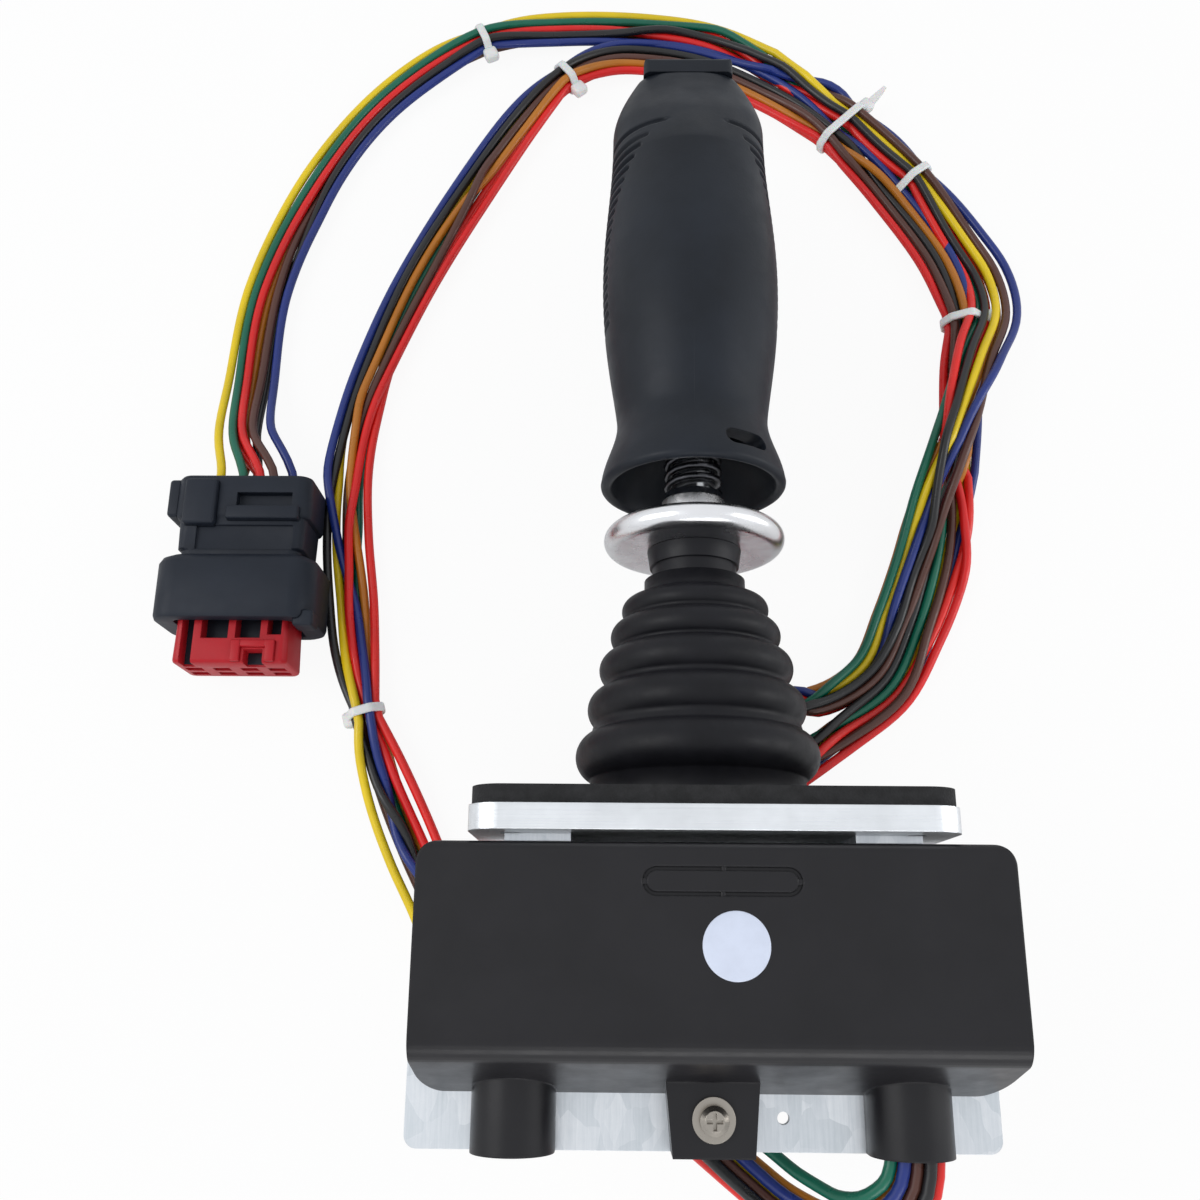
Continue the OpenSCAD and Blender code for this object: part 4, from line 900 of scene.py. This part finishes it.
def cut_slot(grip):
    """Cuts the key slot through the bell mouth's wall."""
    turn = math.radians(SLOT_TURN)
    out = Vector((math.sin(turn), 0, math.cos(turn)))
    side = Vector((math.cos(turn), 0, -math.sin(turn)))
    bm = bmesh.new()
    ends = []
    for r in (8, 30):
        ring = []
        for a in np.linspace(0, 2 * math.pi, 32, endpoint=False):
            u = math.copysign(SLOT_L / 2, math.cos(a)) + SLOT_R * math.cos(a)
            up = Vector((0, GRIP_FOOT + SLOT_H + SLOT_R * math.sin(a), 0))
            ring.append(bm.verts.new((out * r + side * u + up) * MM))
        ends.append(ring)
        bm.faces.new(ring)
    for k in range(32):
        bm.faces.new((ends[0][k - 1], ends[0][k], ends[1][k], ends[1][k - 1]))
    carve(grip, bm)


add_grip()

# ---- Bellows and lock spring ----------------------------------------------------------------------

BOOT_FOOT, BOOT_VALLEY, NECK_FOOT = 5.0, 21.27, 48.0
CAD_SHARP = math.radians(50)


def copy_of(node, name, mat, keep=None):
    """Piece with the mesh of a CAD node, or of what lies on one side of a height: keep is (height, way)."""
    bm = bmesh.new()
    bm.from_mesh(NODES[node].data)
    bmesh.ops.remove_doubles(bm, verts=bm.verts, dist=0.001 * MM)
    if keep:
        height, way = keep
        bmesh.ops.bisect_plane(bm, geom=[*bm.verts, *bm.edges, *bm.faces], plane_co=(0, height * MM, 0),
                               plane_no=(0, way, 0), clear_inner=True)
    mesh = bpy.data.meshes.new(name)
    bm.to_mesh(mesh)
    bm.free()
    mesh.shade_smooth()
    mesh.set_sharp_from_angle(angle=CAD_SHARP)
    piece = link(bpy.data.objects.new(name, mesh))
    set_material(piece, MATS[mat])
    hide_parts(node)
    return piece


def add_boot():
    """Bellows in two pieces that meet in its lowest valley."""
    lower = copy_of("bellows_boot", "boot_lower", "boot_rubber", (BOOT_VALLEY, -1))
    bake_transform(lower)
    upper = copy_of("bellows_boot", "boot_upper", "boot_rubber", (BOOT_VALLEY, 1))
    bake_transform(upper)


def add_lock_spring():
    """Spring that the ring's washer pushes up against the bell's seat."""
    spring = copy_of("lock_spring", "lock_coil", "spring_dark")
    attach(spring, "stick")
    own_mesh(spring)


add_boot()
add_lock_spring()

# ---- Bridges that hold the box's knock-out --------------------------------------------------------


KNOCKOUT = (1.2, -13.7)
# Each bridge's place from the middle of the knock-out, its width and its height.
BRIDGES = ((-14.25, 0, 1.3, 1.1), (14.25, 0, 1.3, 1.1), (0.3, 2.25, 0.9, 1.3), (0.1, -2.25, 0.9, 1.3))


def add_bridges():
    face = hi("box_cover")[2] / MM
    bm = bmesh.new()
    for x, y, w, h in BRIDGES:
        place = Matrix.Translation(Vector((KNOCKOUT[0] + x, KNOCKOUT[1] + y, face - 0.38)) * MM)
        rounded_block(bm, (w, h, 0.5), place, 0.12)
    new_piece("knockout_bridges", bm, MATS["box_black"], "base")


add_bridges()

# ---- Bare round sticker on the box ----------------------------------------------------------------


STICKER_AT = (3.5, -25)
STICKER_RINGS = ((4.6, 0.17), (5.95, 0.15), (6.12, 0.09), (6.15, 0.0))   # radius and height of each


def add_sticker():
    top = hi("box_cover")[2]
    bm = bmesh.new()
    verts = []
    for r, z in STICKER_RINGS:
        verts.append([bm.verts.new((r * math.cos(a) * MM, r * math.sin(a) * MM, z * MM))
                      for a in np.linspace(0, 2 * math.pi, 72, endpoint=False)])
    middle = bm.verts.new((0, 0, STICKER_RINGS[0][1] * MM))
    for k in range(72):
        bm.faces.new((middle, verts[0][k], verts[0][(k + 1) % 72]))
        for a, b in zip(verts, verts[1:]):
            bm.faces.new((a[k], b[k], b[(k + 1) % 72], a[(k + 1) % 72]))
    mesh = bpy.data.meshes.new("round_sticker")
    bm.to_mesh(mesh)
    bm.free()
    mesh.transform(Matrix.Translation((STICKER_AT[0] * MM, STICKER_AT[1] * MM, top)))
    for p in mesh.polygons:
        p.use_smooth = True
    sticker = link(bpy.data.objects.new("round_sticker", mesh))
    m = Mat("sticker_paper", (0.72, 0.78, 0.93), 0.42, Coat_Weight=0.2, Coat_Roughness=0.3)
    m.vary_color(m.noise(220, 5, 0.7), 0.03)
    m.vary_rough(m.noise(150, 3, 0.6), 0.36, 0.5)
    m.bump(m.noise(600, 4, 0.6), 0.02)
    set_material(sticker, m)
    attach(sticker, "base")


add_sticker()

# ---- Floor and light ------------------------------------------------------------------------------


def add_stage():
    mesh = bpy.data.meshes.new("floor")
    s = 3.0
    corners = [(-s, -s, TABLE_Z), (s, -s, TABLE_Z), (s, s, TABLE_Z), (-s, s, TABLE_Z)]
    mesh.from_pydata(corners, [], [(0, 1, 2, 3)])
    floor = link(bpy.data.objects.new("floor", mesh))
    mat = bpy.data.materials.new("floor_white")
    mat.use_nodes = True
    t = mat.node_tree
    diffuse = t.nodes["Principled BSDF"]
    diffuse.inputs["Base Color"].default_value = (0.9, 0.9, 0.9, 1)
    diffuse.inputs["Roughness"].default_value = 0.9
    glow = t.nodes.new("ShaderNodeEmission")
    glow.inputs["Color"].default_value = (1, 1, 1, 1)
    glow.inputs["Strength"].default_value = 1.0
    mix = t.nodes.new("ShaderNodeMixShader")
    path = t.nodes.new("ShaderNodeLightPath")
    dim = t.nodes.new("ShaderNodeMath")
    dim.operation = "MULTIPLY"
    dim.inputs[1].default_value = 0.93
    t.links.new(path.outputs["Is Camera Ray"], dim.inputs[0])
    t.links.new(dim.outputs[0], mix.inputs[0])
    t.links.new(diffuse.outputs[0], mix.inputs[1])
    t.links.new(glow.outputs[0], mix.inputs[2])
    t.links.new(mix.outputs[0], t.nodes["Material Output"].inputs["Surface"])
    mesh.materials.append(mat)


def add_area(name, at, aim, size, power):
    data = bpy.data.lights.new(name, "AREA")
    data.shape = "RECTANGLE"
    data.size, data.size_y = size
    data.energy = power
    lamp = link(bpy.data.objects.new(name, data))
    lamp.location = at
    lamp.rotation_euler = (Vector(aim) - Vector(at)).to_track_quat("-Z", "Y").to_euler()


def add_light():
    world = bpy.data.worlds.new("studio")
    scene.world = world
    world.use_nodes = True
    t = world.node_tree
    sky = t.nodes["Background"]
    sky.inputs["Color"].default_value = (0.95, 0.97, 1.0, 1)
    path = t.nodes.new("ShaderNodeLightPath")
    seen = t.nodes.new("ShaderNodeMath")
    seen.operation = "MAXIMUM"
    t.links.new(path.outputs["Is Camera Ray"], seen.inputs[0])
    t.links.new(path.outputs["Is Glossy Ray"], seen.inputs[1])
    level = t.nodes.new("ShaderNodeMapRange")
    level.inputs["To Min"].default_value = 0.58
    level.inputs["To Max"].default_value = 0.95
    t.links.new(seen.outputs[0], level.inputs["Value"])
    t.links.new(level.outputs["Result"], sky.inputs["Strength"])
    middle = (0, 0.06, 0)
    add_area("key", (-0.65, 0.1, 0.6), middle, (0.4, 0.6), 2.4)
    add_area("front", (0.15, -0.8, 0.4), middle, (0.7, 0.25), 2.2)
    add_area("right", (0.8, 0.1, 0.3), middle, (0.25, 0.7), 1.8)
    scene.view_settings.view_transform = "Standard"


add_stage()
add_light()
